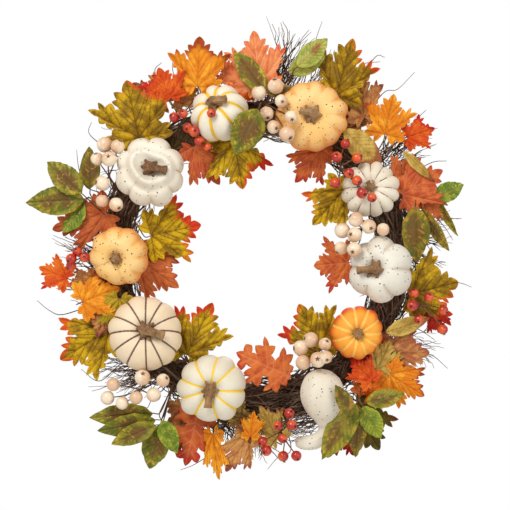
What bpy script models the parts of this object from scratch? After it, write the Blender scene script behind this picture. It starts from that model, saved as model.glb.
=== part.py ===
"""Harvest door wreath: a wire hoop in four vine bundles, dressed with pumpkins, berries and leaf picks.

Metres, +Z up. The wreath stands in the XZ plane and its front faces -Y. The origin is where a door
hook carries the ring: on the underside of the top of the ring. Positions in the tables are in
millimetres from the ring's centre: x to the right, z up, and depth forwards, which is -Y.
"""

import math

import bmesh
import bpy
from mathutils import Matrix, Vector

MM = 0.001

# Ring
RING_RADIUS = 190.0
TUBE_RADIUS = 27.0
BACK_DEPTH = -19.0
BUNDLE_SIDES = 10
BUNDLE_COUNT = 4
BUNDLE_STEPS = 12
BUNDLE_BULGE = 0.05
HOOP_RADIUS = 1.8
HOOP_SIDES = 6
BORE_RADIUS = 2.3
TOUCH_GAP = 0.3
SEAT_DEPTH = TUBE_RADIUS * (1 + BUNDLE_BULGE) + TOUCH_GAP

# Hanger on the back of the ring, near its top
HANGER_HEIGHT = 193.0
HANGER_WIRE = 1.5
HANGER_BAR = 24.0
HANGER_DROP = 33.0
HANGER_STANDOFF = 2.8
SADDLE_WIDTH = 12.0
SADDLE_FOOT = 8.0
SADDLE_SHEET = 1.0

LEAF_THICKNESS = 1.0
STEM_WIRE = 1.5
STEM_SIDES = 5
KNOT_RADIUS = 3.6
KNOT_START = 1.8
KNOT_ROWS = 3

# The ring's centre hangs this far below the hook seat, which is the row's origin.
SEAT_TO_CENTRE = RING_RADIUS - TUBE_RADIUS * (1 + BUNDLE_BULGE)

COLOURS = {
    "twig": ((0.055, 0.038, 0.03), 0.85, 0.0),
    "wire": ((0.42, 0.42, 0.44), 0.35, 1.0),
    "pumpkin_white": ((0.82, 0.78, 0.71), 0.6, 0.0),
    "pumpkin_cream": ((0.80, 0.68, 0.48), 0.6, 0.0),
    "pumpkin_yellow": ((0.90, 0.48, 0.16), 0.6, 0.0),
    "pumpkin_orange": ((0.92, 0.30, 0.03), 0.55, 0.0),
    "stem": ((0.26, 0.15, 0.08), 0.8, 0.0),
    "berry_cream": ((0.88, 0.60, 0.38), 0.4, 0.0),
    "berry_red": ((0.60, 0.05, 0.02), 0.3, 0.0),
    "leaf_olive": ((0.28, 0.23, 0.02), 0.7, 0.0),
    "leaf_coral": ((0.58, 0.14, 0.06), 0.7, 0.0),
    "leaf_yellow": ((0.90, 0.37, 0.05), 0.7, 0.0),
    "leaf_green": ((0.16, 0.22, 0.05), 0.6, 0.0),
    "leaf_mauve": ((0.30, 0.12, 0.08), 0.75, 0.0),
}

# name: material, x, z, radius, half height, lobes, groove depth as a part of the radius, and how far the
# axis leans from straight forwards towards +x and towards +z, in degrees
PUMPKINS = {
    "white_scalloped": ("pumpkin_white", -138, 113, 46, 30, 8, 0.17, 3, 8),
    "white_striped": ("pumpkin_white", -46, 190, 39, 29, 8, 0.10, -20, 26),
    "yellow_speckled": ("pumpkin_yellow", 74, 186, 48, 31, 10, 0.07, 0, 2),
    "white_small": ("pumpkin_white", 152, 90, 38, 25, 12, 0.08, -4, 6),
    "white_bulbous": ("pumpkin_white", 164, -15, 44, 33, 6, 0.15, -20, 2),
    "orange_small": ("pumpkin_orange", 133, -98, 35, 27, 11, 0.06, 0, -2),
    "yellow_striped": ("pumpkin_white", -56, -171, 46, 31, 10, 0.06, -5, 0),
    "cream_striped": ("pumpkin_cream", -144, -100, 49, 31, 12, 0.06, 4, 12),
    "orange_speckled": ("pumpkin_yellow", -178, 3, 39, 28, 10, 0.06, -6, -8),
}

# name of its pumpkin: star base radius, straight rise, handle run towards (x, z), tip radius
PUMPKIN_STEMS = {
    "white_scalloped": (9.5, 9, 18, -4, 3.2),
    "white_striped": (9.0, 9, 20, -6, 3.0),
    "yellow_speckled": (13.0, 9, -15, 3, 3.4),
    "white_small": (7.0, 8, -4, 6, 2.6),
    "white_bulbous": (10.0, 9, -20, -2, 3.4),
    "orange_small": (5.5, 9, 1, 7, 3.0),
    "yellow_striped": (9.5, 9, -1, -20, 3.4),
    "cream_striped": (12.5, 10, 22, -9, 4.6),
    "orange_speckled": (6.0, 8, -3, -3, 3.2),
}

# Gourd lying on the ring: x, z, depth of the middle, radius
GOURD_PATH = [
    (87, -150, 57, 12), (87, -158, 57, 22), (88, -172, 57, 28), (90, -186, 57, 28), (92, -200, 56, 23),
    (94, -212, 54, 15), (95, -224, 52, 10.5), (90, -235, 50, 9.5), (80, -242, 49, 9), (68, -244, 49, 8),
    (59, -243, 49, 6),
]
GOURD_SIDES = 12

# name: material, berry radius, foot (x, z) on the ring, joint (x, z, depth), berries (x, z, depth)
BERRY_SPRAYS = {
    "cream_left": ("berry_cream", 10.5, (-181, 88), (-193, 108, 48), [
        (-198, 149, 56), (-180, 146, 64), (-207, 130, 62), (-190, 129, 74), (-200, 98, 66),
        (-201, 75, 58), (-182, 70, 64)]),
    "cream_top": ("berry_cream", 10.5, (18, 196), (15, 202, 62), [
        (5, 216, 68), (27, 224, 74), (15, 188, 76), (34, 203, 90), (46, 181, 101), (24, 170, 84),
        (41, 160, 93)]),
    "cream_right": ("berry_cream", 10.5, (146, 50), (140, 38, 68), [
        (114, 36, 70), (131, 50, 78), (148, 41, 80), (166, 37, 84), (129, 30, 84), (112, 13, 78),
        (128, 11, 92)]),
    "cream_inner_right": ("berry_cream", 10.5, (90, -150), (84, -126, 58), [
        (73, -107, 64), (91, -112, 76), (60, -118, 60), (63, -137, 64), (82, -132, 78), (92, -128, 88)]),
    "cream_lower_left": ("berry_cream", 10.5, (-133, -152), (-150, -172, 66), [
        (-146, -155, 82), (-119, -158, 88), (-132, -178, 76), (-186, -166, 62), (-155, -182, 72),
        (-194, -184, 56), (-174, -190, 64)]),
    "red_top_left": ("berry_red", 7.0, (-84, 176), (-88, 180, 52), [
        (-106, 185, 58), (-94, 189, 64), (-62, 145, 62), (-88, 170, 66), (-79, 165, 76), (-73, 153, 68)]),
    "red_upper_right": ("berry_red", 7.0, (120, 128), (111, 119, 78), [
        (118, 149, 72), (106, 131, 84), (133, 130, 76), (122, 110, 86), (105, 98, 72), (132, 100, 88),
        (138, 84, 91), (151, 78, 92)]),
    "red_right": ("berry_red", 7.0, (196, -66), (216, -62, 58), [
        (208, -46, 66), (227, -51, 72), (205, -62, 76), (247, -68, 62), (214, -80, 68), (247, -94, 58)]),
    "red_bottom": ("berry_red", 7.0, (36, -206), (34, -228, 56), [
        (45, -204, 64), (48, -218, 74), (30, -219, 70), (36, -236, 68), (10, -241, 60), (15, -252, 66),
        (37, -260, 62), (54, -258, 72)]),
    "red_left": ("berry_red", 7.0, (-209, -2), (-228, 1, 52), [
        (-234, 8, 58), (-223, 1, 64), (-241, -1, 62), (-242, -10, 56)]),
}

# name: material, foot (x, z) on the ring, joint depth, leaves
# leaf: kind, x, z of its base, heading in degrees (0 is right, 90 is up), length, width, depth, pitch
LEAF_PICKS = {
    "olive_upper_left": ("leaf_olive", (-134, 158), 34, [
        ("maple", -154, 162, 103, 74, 112, 38, 4)]),
    "orange_top_left": ("leaf_yellow", (-92, 196), 34, [
        ("maple", -116, 216, 103, 34, 58, 42, 8), ("maple", -78, 236, 84, 58, 62, 36, 6)]),
    "coral_top": ("leaf_coral", (8, 206), 36, [
        ("maple", 6, 233, 100, 71, 72, 44, -2), ("ovate", 4, 222, 124, 62, 30, 56, 4)]),
    "green_inner_top": ("leaf_green", (2, 174), 66, [
        ("ovate", 3, 190, -116, 60, 42, 94, 3)]),
    "olive_inner_top": ("leaf_olive", (-22, 166), 36, [
        ("maple", -22, 152, -86, 54, 82, 40, 6)]),
    "coral_inner_top": ("leaf_coral", (-92, 156), 33, [
        ("maple", -82, 146, -56, 52, 56, 34, 2)]),
    "green_upper_right": ("leaf_green", (34, 206), 31, [
        ("ovate", 46, 246, 31, 56, 24, 44, 4), ("ovate", 50, 256, 46, 46, 22, 50, 10)]),
    "mixed_top_right": ("leaf_olive", (118, 172), 30, [
        ("maple", 112, 222, 74, 66, 80, 36, 8), ("maple", 146, 194, 96, 56, 60, 26, -4)]),
    "mixed_upper_right": ("leaf_yellow", (160, 135), 34, [
        ("maple", 174, 172, 78, 44, 60, 44, 8), ("maple", 205, 160, 16, 34, 42, 40, 10),
        ("maple", 214, 110, 84, 46, 56, 50, 6)]),
    "green_right": ("leaf_green", (192, 64), 34, [
        ("ovate", 214, 64, -90, 68, 34, 44, 2), ("ovate", 224, 66, -56, 66, 20, 36, 0),
        ("ovate", 234, 78, 26, 46, 22, 40, 12)]),
    "mixed_inner_upper": ("leaf_olive", (110, 134), 31, [
        ("maple", 86, 142, -124, 50, 60, 32, 4), ("maple", 108, 84, -132, 42, 56, 35, 4)]),
    "coral_inner_lower": ("leaf_coral", (160, 16), 33, [
        ("maple", 122, -4, -172, 42, 64, 36, 0)]),
    "olive_right": ("leaf_olive", (194, -24), 33, [
        ("maple", 218, -36, -4, 52, 82, 36, 4)]),
    "mixed_lower_right": ("leaf_mauve", (168, -124), 34, [
        ("maple", 180, -136, 40, 48, 50, 38, 4), ("maple", 184, -152, -42, 52, 58, 42, 8),
        ("ovate", 176, -100, 14, 58, 28, 50, 8)]),
    "green_lower_right": ("leaf_green", (142, -160), 38, [
        ("ovate", 134, -194, -122, 80, 34, 68, 4), ("ovate", 142, -196, -62, 46, 28, 56, 10),
        ("ovate", 146, -190, 12, 50, 24, 54, 8)]),
    "olive_inner_lower": ("leaf_olive", (102, -138), 33, [
        ("maple", 84, -122, 112, 60, 74, 36, 4)]),
    "orange_left": ("leaf_yellow", (-198, -44), 34, [
        ("maple", -226, -58, 20, 40, 60, 44, 4), ("maple", -240, -30, 160, 46, 52, 36, 4)]),
    "olive_lower_left": ("leaf_olive", (-176, -92), 33, [
        ("maple", -194, -100, -150, 70, 92, 35, 4)]),
    "olive_inner_bottom": ("leaf_olive", (-104, -140), 33, [
        ("maple", -92, -121, 64, 66, 72, 34, 4)]),
    "coral_inner_bottom": ("leaf_coral", (40, -172), 34, [
        ("maple", 42, -156, 156, 66, 58, 41, 0)]),
    "mixed_inner_left": ("leaf_olive", (-164, 54), 32, [
        ("maple", -136, 36, 10, 64, 84, 34, 4), ("maple", -146, -10, -41, 54, 58, 30, -2)]),
    "mixed_left": ("leaf_coral", (-194, 52), 34, [
        ("maple", -206, 56, -164, 64, 62, 36, 0), ("ovate", -226, 84, 137, 64, 34, 50, 6),
        ("ovate", -228, 78, -176, 78, 36, 44, 2)]),
    "green_lower_left": ("leaf_green", (-108, -166), 32, [
        ("ovate", -136, -206, 184, 84, 30, 40, 0), ("ovate", -134, -212, -168, 76, 30, 46, 4),
        ("ovate", -130, -218, -157, 62, 28, 52, 8), ("ovate", -124, -220, -104, 58, 34, 42, 0),
        ("ovate", -122, -214, -66, 46, 26, 50, 8)]),
    "mixed_bottom": ("leaf_coral", (-36, -206), 30, [
        ("maple", -74, -213, -104, 66, 60, 32, 0), ("maple", -54, -256, -88, 40, 30, 40, 0),
        ("maple", -10, -238, -122, 50, 66, 42, 4),
        ("maple", 20, -232, 118, 40, 44, 38, 2)]),
}

# Maple outline from the midrib round one side: angle from the midrib, distance as part of the length
MAPLE_SIDE_LOBE = (50, 0.92)
MAPLE_HALF = [(12, 0.74), (22, 0.48), MAPLE_SIDE_LOBE, (76, 0.44), (104, 0.70), (142, 0.26)]
MAPLE_UNIT_WIDTH = 2 * MAPLE_SIDE_LOBE[1] * math.sin(math.radians(MAPLE_SIDE_LOBE[0]))
OVATE_STATIONS = [0.12, 0.3, 0.52, 0.74, 0.9]
OVATE_BLUNTNESS = 0.85
# Where a leaf plate's faces meet, as part of its length, and how its surface falls away from there
LEAF_HUB = {"maple": 0.1, "ovate": 0.5}
SIDE_DROOP = 0.10
TIP_DROOP = 0.05
STALK_REACH = 0.22


def clear_scene():
    """Remove whatever the start-up file holds."""
    for obj in list(bpy.data.objects):
        bpy.data.objects.remove(obj, do_unlink=True)


def make_material(name):
    """A plain Principled material in the slot's colour."""
    colour, roughness, metallic = COLOURS[name]
    material = bpy.data.materials.new(name)
    material.use_nodes = True
    shader = material.node_tree.nodes["Principled BSDF"]
    shader.inputs["Base Color"].default_value = (*colour, 1.0)
    shader.inputs["Roughness"].default_value = roughness
    shader.inputs["Metallic"].default_value = metallic
    material.diffuse_color = (*colour, 1.0)
    return material


def place(x, z, depth):
    """A point in millimetres from the ring's centre, as metres from the ring's centre."""
    return Vector((x, -depth, z)) * MM


def unit(degrees):
    """The direction in the wreath's plane at this heading."""
    angle = math.radians(degrees)
    return Vector((math.cos(angle), 0.0, math.sin(angle)))


def add_object(name, vertices, faces, material, parent):
    """One closed mesh as an object, with its origin in the middle of its box."""
    mesh = bpy.data.meshes.new(name)
    low = Vector([min(v[axis] for v in vertices) for axis in range(3)])
    high = Vector([max(v[axis] for v in vertices) for axis in range(3)])
    middle = (low + high) / 2
    mesh.from_pydata([v - middle for v in vertices], [], faces)
    obj = bpy.data.objects.new(name, mesh)
    obj.location = middle
    obj.parent = parent
    bpy.context.scene.collection.objects.link(obj)
    mesh.materials.append(material)
    face_outwards(mesh)
    mesh.shade_smooth()
    mesh.set_sharp_from_angle(angle=math.radians(35))
    return obj


def face_outwards(mesh):
    """Point every face out of a closed mesh."""
    work = bmesh.new()
    work.from_mesh(mesh)
    bmesh.ops.recalc_face_normals(work, faces=work.faces)
    work.to_mesh(mesh)
    work.free()


def loft(rings, closed=False):
    """Vertices and faces of a skin through equal rings of points. A ring of one point is an end."""
    vertices = []
    starts = []
    for ring in rings:
        starts.append((len(vertices), len(ring)))
        vertices.extend(ring)
    faces = []
    pairs = list(zip(starts, starts[1:]))
    if closed:
        pairs.append((starts[-1], starts[0]))
    for (a, count_a), (b, count_b) in pairs:
        count = max(count_a, count_b)
        for i in range(count):
            j = (i + 1) % count
            if count_a == 1:
                faces.append((a, b + i, b + j))
            elif count_b == 1:
                faces.append((a + i, a + j, b))
            else:
                faces.append((a + i, a + j, b + j, b + i))
    return vertices, faces


def tube_rings(points, radii, sides, turn=0.0):
    """Rings of points round a path, kept square to it, with an end point before and after."""
    rings = []
    side = None
    for i, point in enumerate(points):
        before = points[max(i - 1, 0)]
        after = points[min(i + 1, len(points) - 1)]
        along = (after - before).normalized()
        if side is None:
            side = along.orthogonal().normalized()
        side = (side - along * side.dot(along)).normalized()
        across = along.cross(side)
        ring = []
        for k in range(sides):
            angle = 2 * math.pi * k / sides + turn
            radius = radii[i]
            ring.append(point + (side * math.cos(angle) + across * math.sin(angle)) * radius)
        rings.append(ring)
    return [[points[0]]] + rings + [[points[-1]]]


def tube(points, radius, sides):
    """Vertices and faces of a closed round bar."""
    return loft(tube_rings(points, [radius] * len(points), sides))


def section_point(angle, radius):
    """Radial offset and depth at an angle round the bundle's D-shaped section, flat at the back."""
    offset = radius * math.cos(angle)
    depth = radius * math.sin(angle)
    return offset, max(depth, BACK_DEPTH)


def ring_front(x, z):
    """Depth of the ring's front above a point in the wreath's plane."""
    offset = math.hypot(x, z) - RING_RADIUS
    reach = TUBE_RADIUS * (1 + BUNDLE_BULGE)
    return math.sqrt(max(reach * reach - offset * offset, 0.0))


def make_bundles(material, parent):
    """Four vine bundles, end to end round the hoop, each with a bore for the hoop's wire."""
    sweep = 360.0 / BUNDLE_COUNT
    end_gap = math.degrees(TOUCH_GAP / (RING_RADIUS - TUBE_RADIUS))
    for index in range(BUNDLE_COUNT):
        rings = []
        for step in range(BUNDLE_STEPS + 1):
            heading = index * sweep + sweep * step / BUNDLE_STEPS
            if step == 0:
                heading += end_gap / 2
            if step == BUNDLE_STEPS:
                heading -= end_gap / 2
            outward = unit(heading)
            outer = []
            bore = []
            for k in range(BUNDLE_SIDES):
                angle = 2 * math.pi * (k + 0.5) / BUNDLE_SIDES
                bulge = 1 + BUNDLE_BULGE * math.sin(math.radians(heading * 7) + 2 * angle)
                offset, depth = section_point(angle, TUBE_RADIUS * bulge)
                outer.append(outward * (RING_RADIUS + offset) * MM + place(0, 0, depth))
                offset = BORE_RADIUS * math.cos(angle)
                depth = BORE_RADIUS * math.sin(angle)
                bore.append(outward * (RING_RADIUS + offset) * MM + place(0, 0, depth))
            rings.append((outer, bore))
        skins = [outer for outer, bore in rings] + [bore for outer, bore in reversed(rings)]
        vertices, faces = loft(skins, closed=True)
        add_object(f"twig_bundle_{index + 1}", vertices, faces, material, parent)


def make_hoop(material, parent):
    """The wire hoop inside the bundles."""
    rings = []
    steps = BUNDLE_COUNT * BUNDLE_STEPS
    for step in range(steps):
        outward = unit(360.0 * step / steps)
        ring = []
        for k in range(HOOP_SIDES):
            angle = 2 * math.pi * (k + 0.5) / HOOP_SIDES
            offset = HOOP_RADIUS * math.cos(angle)
            depth = HOOP_RADIUS * math.sin(angle)
            ring.append(outward * (RING_RADIUS + offset) * MM + place(0, 0, depth))
        rings.append(ring)
    vertices, faces = loft(rings, closed=True)
    add_object("wire_hoop", vertices, faces, material, parent)


def make_hanging_loop(material, pivot):
    """A D-shaped wire loop, hanging down from its bar. Its origin is on the bar's axis."""
    half = HANGER_BAR / 2
    corner = 3.0
    path = [(0, 0), (half - corner, 0), (half, -corner)]
    for step in range(7):
        angle = math.pi * step / 6
        path.append((half * math.cos(angle), half - HANGER_DROP - half * math.sin(angle)))
    path += [(-half, -corner), (-half + corner, 0)]
    points = [Vector((x, 0, z)) * MM for x, z in path]
    rings = []
    for i, point in enumerate(points):
        before = points[i - 1]
        after = points[(i + 1) % len(points)]
        along = (after - before).normalized()
        across = Vector((0, 1, 0))
        side = along.cross(across)
        ring = []
        for k in range(8):
            angle = 2 * math.pi * k / 8
            ring.append(point + (side * math.cos(angle) + across * math.sin(angle)) * HANGER_WIRE * MM)
        rings.append(ring)
    vertices, faces = loft(rings, closed=True)
    mesh = bpy.data.meshes.new("hanging_loop")
    mesh.from_pydata(vertices, [], faces)
    face_outwards(mesh)
    mesh.shade_smooth()
    mesh.materials.append(material)
    loop = bpy.data.objects.new("hanging_loop", mesh)
    loop.parent = pivot
    bpy.context.scene.collection.objects.link(loop)


def make_saddle(material, parent):
    """A sheet-metal strap over the loop's bar, with a foot above and a foot below on the flat back."""
    inner = HANGER_WIRE + 0.35
    outer = inner + SADDLE_SHEET
    foot_front = -BACK_DEPTH + TOUCH_GAP
    foot_back = foot_front + SADDLE_SHEET
    bar_y = -BACK_DEPTH + HANGER_STANDOFF
    arch = 6
    profile = [(foot_front, -outer - SADDLE_FOOT), (foot_front, -inner)]
    for step in range(arch + 1):
        angle = -math.pi / 2 + math.pi * step / arch
        profile.append((bar_y + inner * math.cos(angle), inner * math.sin(angle)))
    profile += [(foot_front, inner), (foot_front, outer + SADDLE_FOOT), (foot_back, outer + SADDLE_FOOT)]
    profile += [(foot_back, outer)]
    for step in range(arch + 1):
        angle = math.pi / 2 - math.pi * step / arch
        profile.append((bar_y + outer * math.cos(angle), outer * math.sin(angle)))
    profile += [(foot_back, -outer), (foot_back, -outer - SADDLE_FOOT)]
    work = bmesh.new()
    corners = [
        work.verts.new(Vector((-SADDLE_WIDTH / 2, y, HANGER_HEIGHT + z)) * MM) for y, z in profile
    ]
    face = work.faces.new(corners)
    grown = bmesh.ops.extrude_face_region(work, geom=[face])
    moved = [item for item in grown["geom"] if isinstance(item, bmesh.types.BMVert)]
    bmesh.ops.translate(work, verts=moved, vec=Vector((SADDLE_WIDTH * MM, 0, 0)))
    bmesh.ops.recalc_face_normals(work, faces=work.faces)
    mesh = bpy.data.meshes.new("hanger_saddle")
    work.to_mesh(mesh)
    work.free()
    mesh.materials.append(material)
    saddle = bpy.data.objects.new("hanger_saddle", mesh)
    saddle.parent = parent
    bpy.context.scene.collection.objects.link(saddle)


def facing(tilt_x, tilt_z):
    """Turns an upright turned form so that its top faces forwards, tilted to the side and up."""
    side = Matrix.Rotation(math.radians(tilt_x), 3, "Z")
    lift = Matrix.Rotation(math.radians(90 - tilt_z), 3, "X")
    return side @ lift


PUMPKIN_LATITUDES = [-62, -30, 5, 38, 66]
POLE_DIP = 0.72
PUMPKIN_SQUARENESS = 0.7
STEM_SEAT = 0.83


def make_pumpkin(name, materials, parent):
    """A ribbed oblate pumpkin resting on the front of the ring. Returns its centre."""
    slot, x, z, radius, half_height, lobes, groove, tilt_x, tilt_z = PUMPKINS[name]
    turn = facing(tilt_x, tilt_z)
    rings = [[Vector((0, 0, -POLE_DIP * half_height))]]
    for latitude in PUMPKIN_LATITUDES:
        angle = math.radians(latitude)
        ring = []
        for k in range(2 * lobes):
            reach = radius * math.cos(angle) ** PUMPKIN_SQUARENESS
            if k % 2:
                reach *= 1 - groove
            around = math.pi * k / lobes
            height = half_height * math.sin(angle)
            ring.append(Vector((reach * math.cos(around), reach * math.sin(around), height)))
        rings.append(ring)
    rings.append([Vector((0, 0, POLE_DIP * half_height))])
    vertices, faces = loft(rings)
    vertices = [turn @ v for v in vertices]
    lowest = max(v.y for v in vertices)
    centre_depth = SEAT_DEPTH + lowest
    centre = place(x, z, centre_depth)
    vertices = [v * MM + centre for v in vertices]
    add_object(f"pumpkin_{name}", vertices, faces, materials[slot], parent)
    return centre


STEM_POINTS = 10
STEM_FOOT_RISE = 2.5
# How far the handle has run sideways at each ring, and how deep its furrows are there
STEM_LEAN = [0.0, 0.0, 0.0, 0.35, 0.72, 1.0]
STEM_FURROWS = [0.62, 0.75, 0.88, 0.9, 0.9, 0.9]


def make_stem(name, centre, material, parent):
    """A stem with a star-shaped foot, rising from the pumpkin and leaning to one side."""
    half_height = PUMPKINS[name][4]
    turn = facing(*PUMPKINS[name][7:9])
    foot, rise, lean_x, lean_z, tip = PUMPKIN_STEMS[name]
    up = turn @ Vector((0, 0, 1))
    base = centre + up * (STEM_SEAT * half_height + TOUCH_GAP) * MM
    lean = Vector((lean_x, 0, lean_z)) * MM
    lean -= up * lean.dot(up)
    heights = [0.0, STEM_FOOT_RISE, rise * 0.7, rise, rise + 2.0, rise + 2.5]
    path = [base + up * height * MM + lean * part for height, part in zip(heights, STEM_LEAN)]
    radii = [foot, foot * 0.62, tip * 1.15, tip * 0.95, tip, tip * 1.2]
    side = turn @ Vector((1, 0, 0))
    rings = [[path[0]]]
    for i, point in enumerate(path):
        along = (path[min(i + 1, len(path) - 1)] - path[max(i - 1, 0)]).normalized()
        side = (side - along * side.dot(along)).normalized()
        across = along.cross(side)
        ring = []
        for k in range(STEM_POINTS):
            angle = 2 * math.pi * k / STEM_POINTS
            dent = STEM_FURROWS[i] if k % 2 else 1.0
            offset = side * math.cos(angle) + across * math.sin(angle)
            ring.append(point + offset * radii[i] * dent * MM)
        rings.append(ring)
    rings.append([path[-1]])
    vertices, faces = loft(rings)
    add_object(f"stem_{name}", vertices, faces, material, parent)


def make_gourd(material, parent):
    """The bottle gourd: a bulb whose neck narrows and curls to one side."""
    points = [place(x, z, depth) for x, z, depth, radius in GOURD_PATH]
    radii = [radius * MM for x, z, depth, radius in GOURD_PATH]
    vertices, faces = loft(tube_rings(points, radii, GOURD_SIDES))
    add_object("pumpkin_gourd", vertices, faces, material, parent)


BERRY_ROWS = {"berry_cream": 4, "berry_red": 3}
BERRY_SIDES = 6
WIRE_SIDES = 3


def berry(centre, radius, rows):
    """Vertices and faces of a small round fruit."""
    rings = [[centre + Vector((0, 0, radius))]]
    for row in range(1, rows):
        angle = math.pi * row / rows
        height = radius * math.cos(angle)
        reach = radius * math.sin(angle)
        ring = []
        for k in range(BERRY_SIDES):
            around = 2 * math.pi * k / BERRY_SIDES
            ring.append(centre + Vector((reach * math.cos(around), reach * math.sin(around), height)))
        rings.append(ring)
    rings.append([centre - Vector((0, 0, radius))])
    return loft(rings)


def knot(centre):
    """Vertices and faces of the taped knot where a spray's wires meet."""
    return berry(centre, KNOT_RADIUS * MM, KNOT_ROWS)


def unite(name, shapes, material, parent):
    """Boolean union of closed shapes as one object. Each shape is a pair of vertices and faces."""
    base = add_object(name, *shapes[0], material, parent)
    helpers = []
    for vertices, faces in shapes[1:]:
        helper = add_object(f"{name}_part", vertices, faces, material, parent)
        helpers.append(helper)
        modifier = base.modifiers.new("union", "BOOLEAN")
        modifier.operation = "UNION"
        modifier.solver = "EXACT"
        modifier.object = helper
    graph = bpy.context.evaluated_depsgraph_get()
    united = bpy.data.meshes.new_from_object(base.evaluated_get(graph))
    base.modifiers.clear()
    base.data = united
    united.name = name
    for helper in helpers:
        bpy.data.objects.remove(helper, do_unlink=True)
    return base


def make_berry_spray(name, materials, parent):
    """Berries on wires from one joint, and a wire from the joint down to the ring."""
    slot, radius, foot, joint, berries = BERRY_SPRAYS[name]
    joint_point = place(*joint)
    foot_point = place(*foot, ring_front(*foot) + TOUCH_GAP + STEM_WIRE)
    shapes = [tube([foot_point, joint_point], STEM_WIRE * MM, STEM_SIDES), knot(joint_point)]
    for spot in berries:
        centre = place(*spot)
        start = joint_point + (centre - joint_point).normalized() * KNOT_START * MM
        shapes.append(tube([start, centre], STEM_WIRE * 0.8 * MM, WIRE_SIDES))
        shapes.append(berry(centre, radius * MM, BERRY_ROWS[slot]))
    unite(f"berries_{name}", shapes, materials[slot], parent)


def leaf_outline(kind, length, width):
    """Points round a leaf, as distances along its midrib and across it, starting at its base."""
    if kind == "maple":
        across = width / (MAPLE_UNIT_WIDTH * length)
        half = []
        for degrees, reach in MAPLE_HALF:
            angle = math.radians(degrees)
            half.append((length * reach * math.cos(angle), length * reach * math.sin(angle) * across))
        half.reverse()
    else:
        half = [(length * s, width / 2 * math.sin(math.pi * s ** OVATE_BLUNTNESS)) for s in OVATE_STATIONS]
    other = [(along, -across) for along, across in reversed(half)]
    return [(0.0, 0.0)] + half + [(length, 0.0)] + other


def leaf_plate(leaf):
    """Vertices and faces of one leaf: a thin plate, lifted along its midrib and bent back at its edges."""
    kind, x, z, heading, length, width, depth, pitch = leaf
    forwards = Vector((0, -1, 0))
    flat = unit(heading)
    along = flat * math.cos(math.radians(pitch)) + forwards * math.sin(math.radians(pitch))
    across = forwards.cross(flat)
    out = along.cross(across)
    if out.dot(forwards) < 0:
        out = -out
    base = place(x, z, depth)
    outline = leaf_outline(kind, length, width)
    hub = (length * LEAF_HUB[kind], 0.0)
    shape = [hub] + outline
    top = []
    for u, v in shape:
        droop = -SIDE_DROOP * abs(v) - TIP_DROOP * length * (u / length) ** 2
        top.append(base + (along * u + across * v + out * droop) * MM)
    under = [point - out * LEAF_THICKNESS * MM for point in top]
    count = len(outline)
    faces = []
    for i in range(count):
        a = 1 + i
        b = 1 + (i + 1) % count
        faces.append((0, a, b))
        faces.append((len(shape), len(shape) + b, len(shape) + a))
        faces.append((a, len(shape) + a, len(shape) + b, b))
    midrib = base + along * length * STALK_REACH * MM - out * LEAF_THICKNESS * 0.5 * MM
    return top + under, faces, midrib


def make_leaf_pick(name, materials, parent):
    """Leaves on wire stalks from one joint, and a wire from the joint down to the ring."""
    slot, foot, joint_depth, leaves = LEAF_PICKS[name]
    foot_point = place(*foot, ring_front(*foot) + TOUCH_GAP + STEM_WIRE)
    joint_point = place(*foot, joint_depth)
    shapes = [tube([foot_point, joint_point], STEM_WIRE * MM, STEM_SIDES), knot(joint_point)]
    for leaf in leaves:
        vertices, faces, midrib = leaf_plate(leaf)
        start = joint_point + (midrib - joint_point).normalized() * KNOT_START * MM
        shapes.append(tube([start, midrib], STEM_WIRE * MM, WIRE_SIDES))
        shapes.append((vertices, faces))
    unite(f"leaves_{name}", shapes, materials[slot], parent)


def build():
    """Build the wreath under one empty at the ring's centre."""
    clear_scene()
    materials = {name: make_material(name) for name in COLOURS}
    wreath = bpy.data.objects.new("wreath_centre", None)
    wreath.location = Vector((0, 0, -SEAT_TO_CENTRE * MM))
    bpy.context.scene.collection.objects.link(wreath)
    pivot = bpy.data.objects.new("hanger_pivot", None)
    pivot.location = place(0, HANGER_HEIGHT, BACK_DEPTH - HANGER_STANDOFF)
    pivot.parent = wreath
    bpy.context.scene.collection.objects.link(pivot)

    make_hoop(materials["wire"], wreath)
    make_bundles(materials["twig"], wreath)
    make_saddle(materials["wire"], wreath)
    make_hanging_loop(materials["wire"], pivot)
    for name in PUMPKINS:
        centre = make_pumpkin(name, materials, wreath)
        make_stem(name, centre, materials["stem"], wreath)
    make_gourd(materials["pumpkin_white"], wreath)
    for name in BERRY_SPRAYS:
        make_berry_spray(name, materials, wreath)
    for name in LEAF_PICKS:
        make_leaf_pick(name, materials, wreath)


build()
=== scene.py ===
"""Looks of the harvest door wreath: leaves, pumpkins, berries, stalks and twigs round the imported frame.

Places in the tables are millimetres from the ring's centre: x to the right, z up and depth forwards.
Headings and tilts are degrees, and colours are sRGB from 0 to 255.
"""

import math
import random
from collections import namedtuple

import bpy
import numpy as np
from mathutils import Matrix, Vector
from mathutils.geometry import delaunay_2d_cdt


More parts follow.
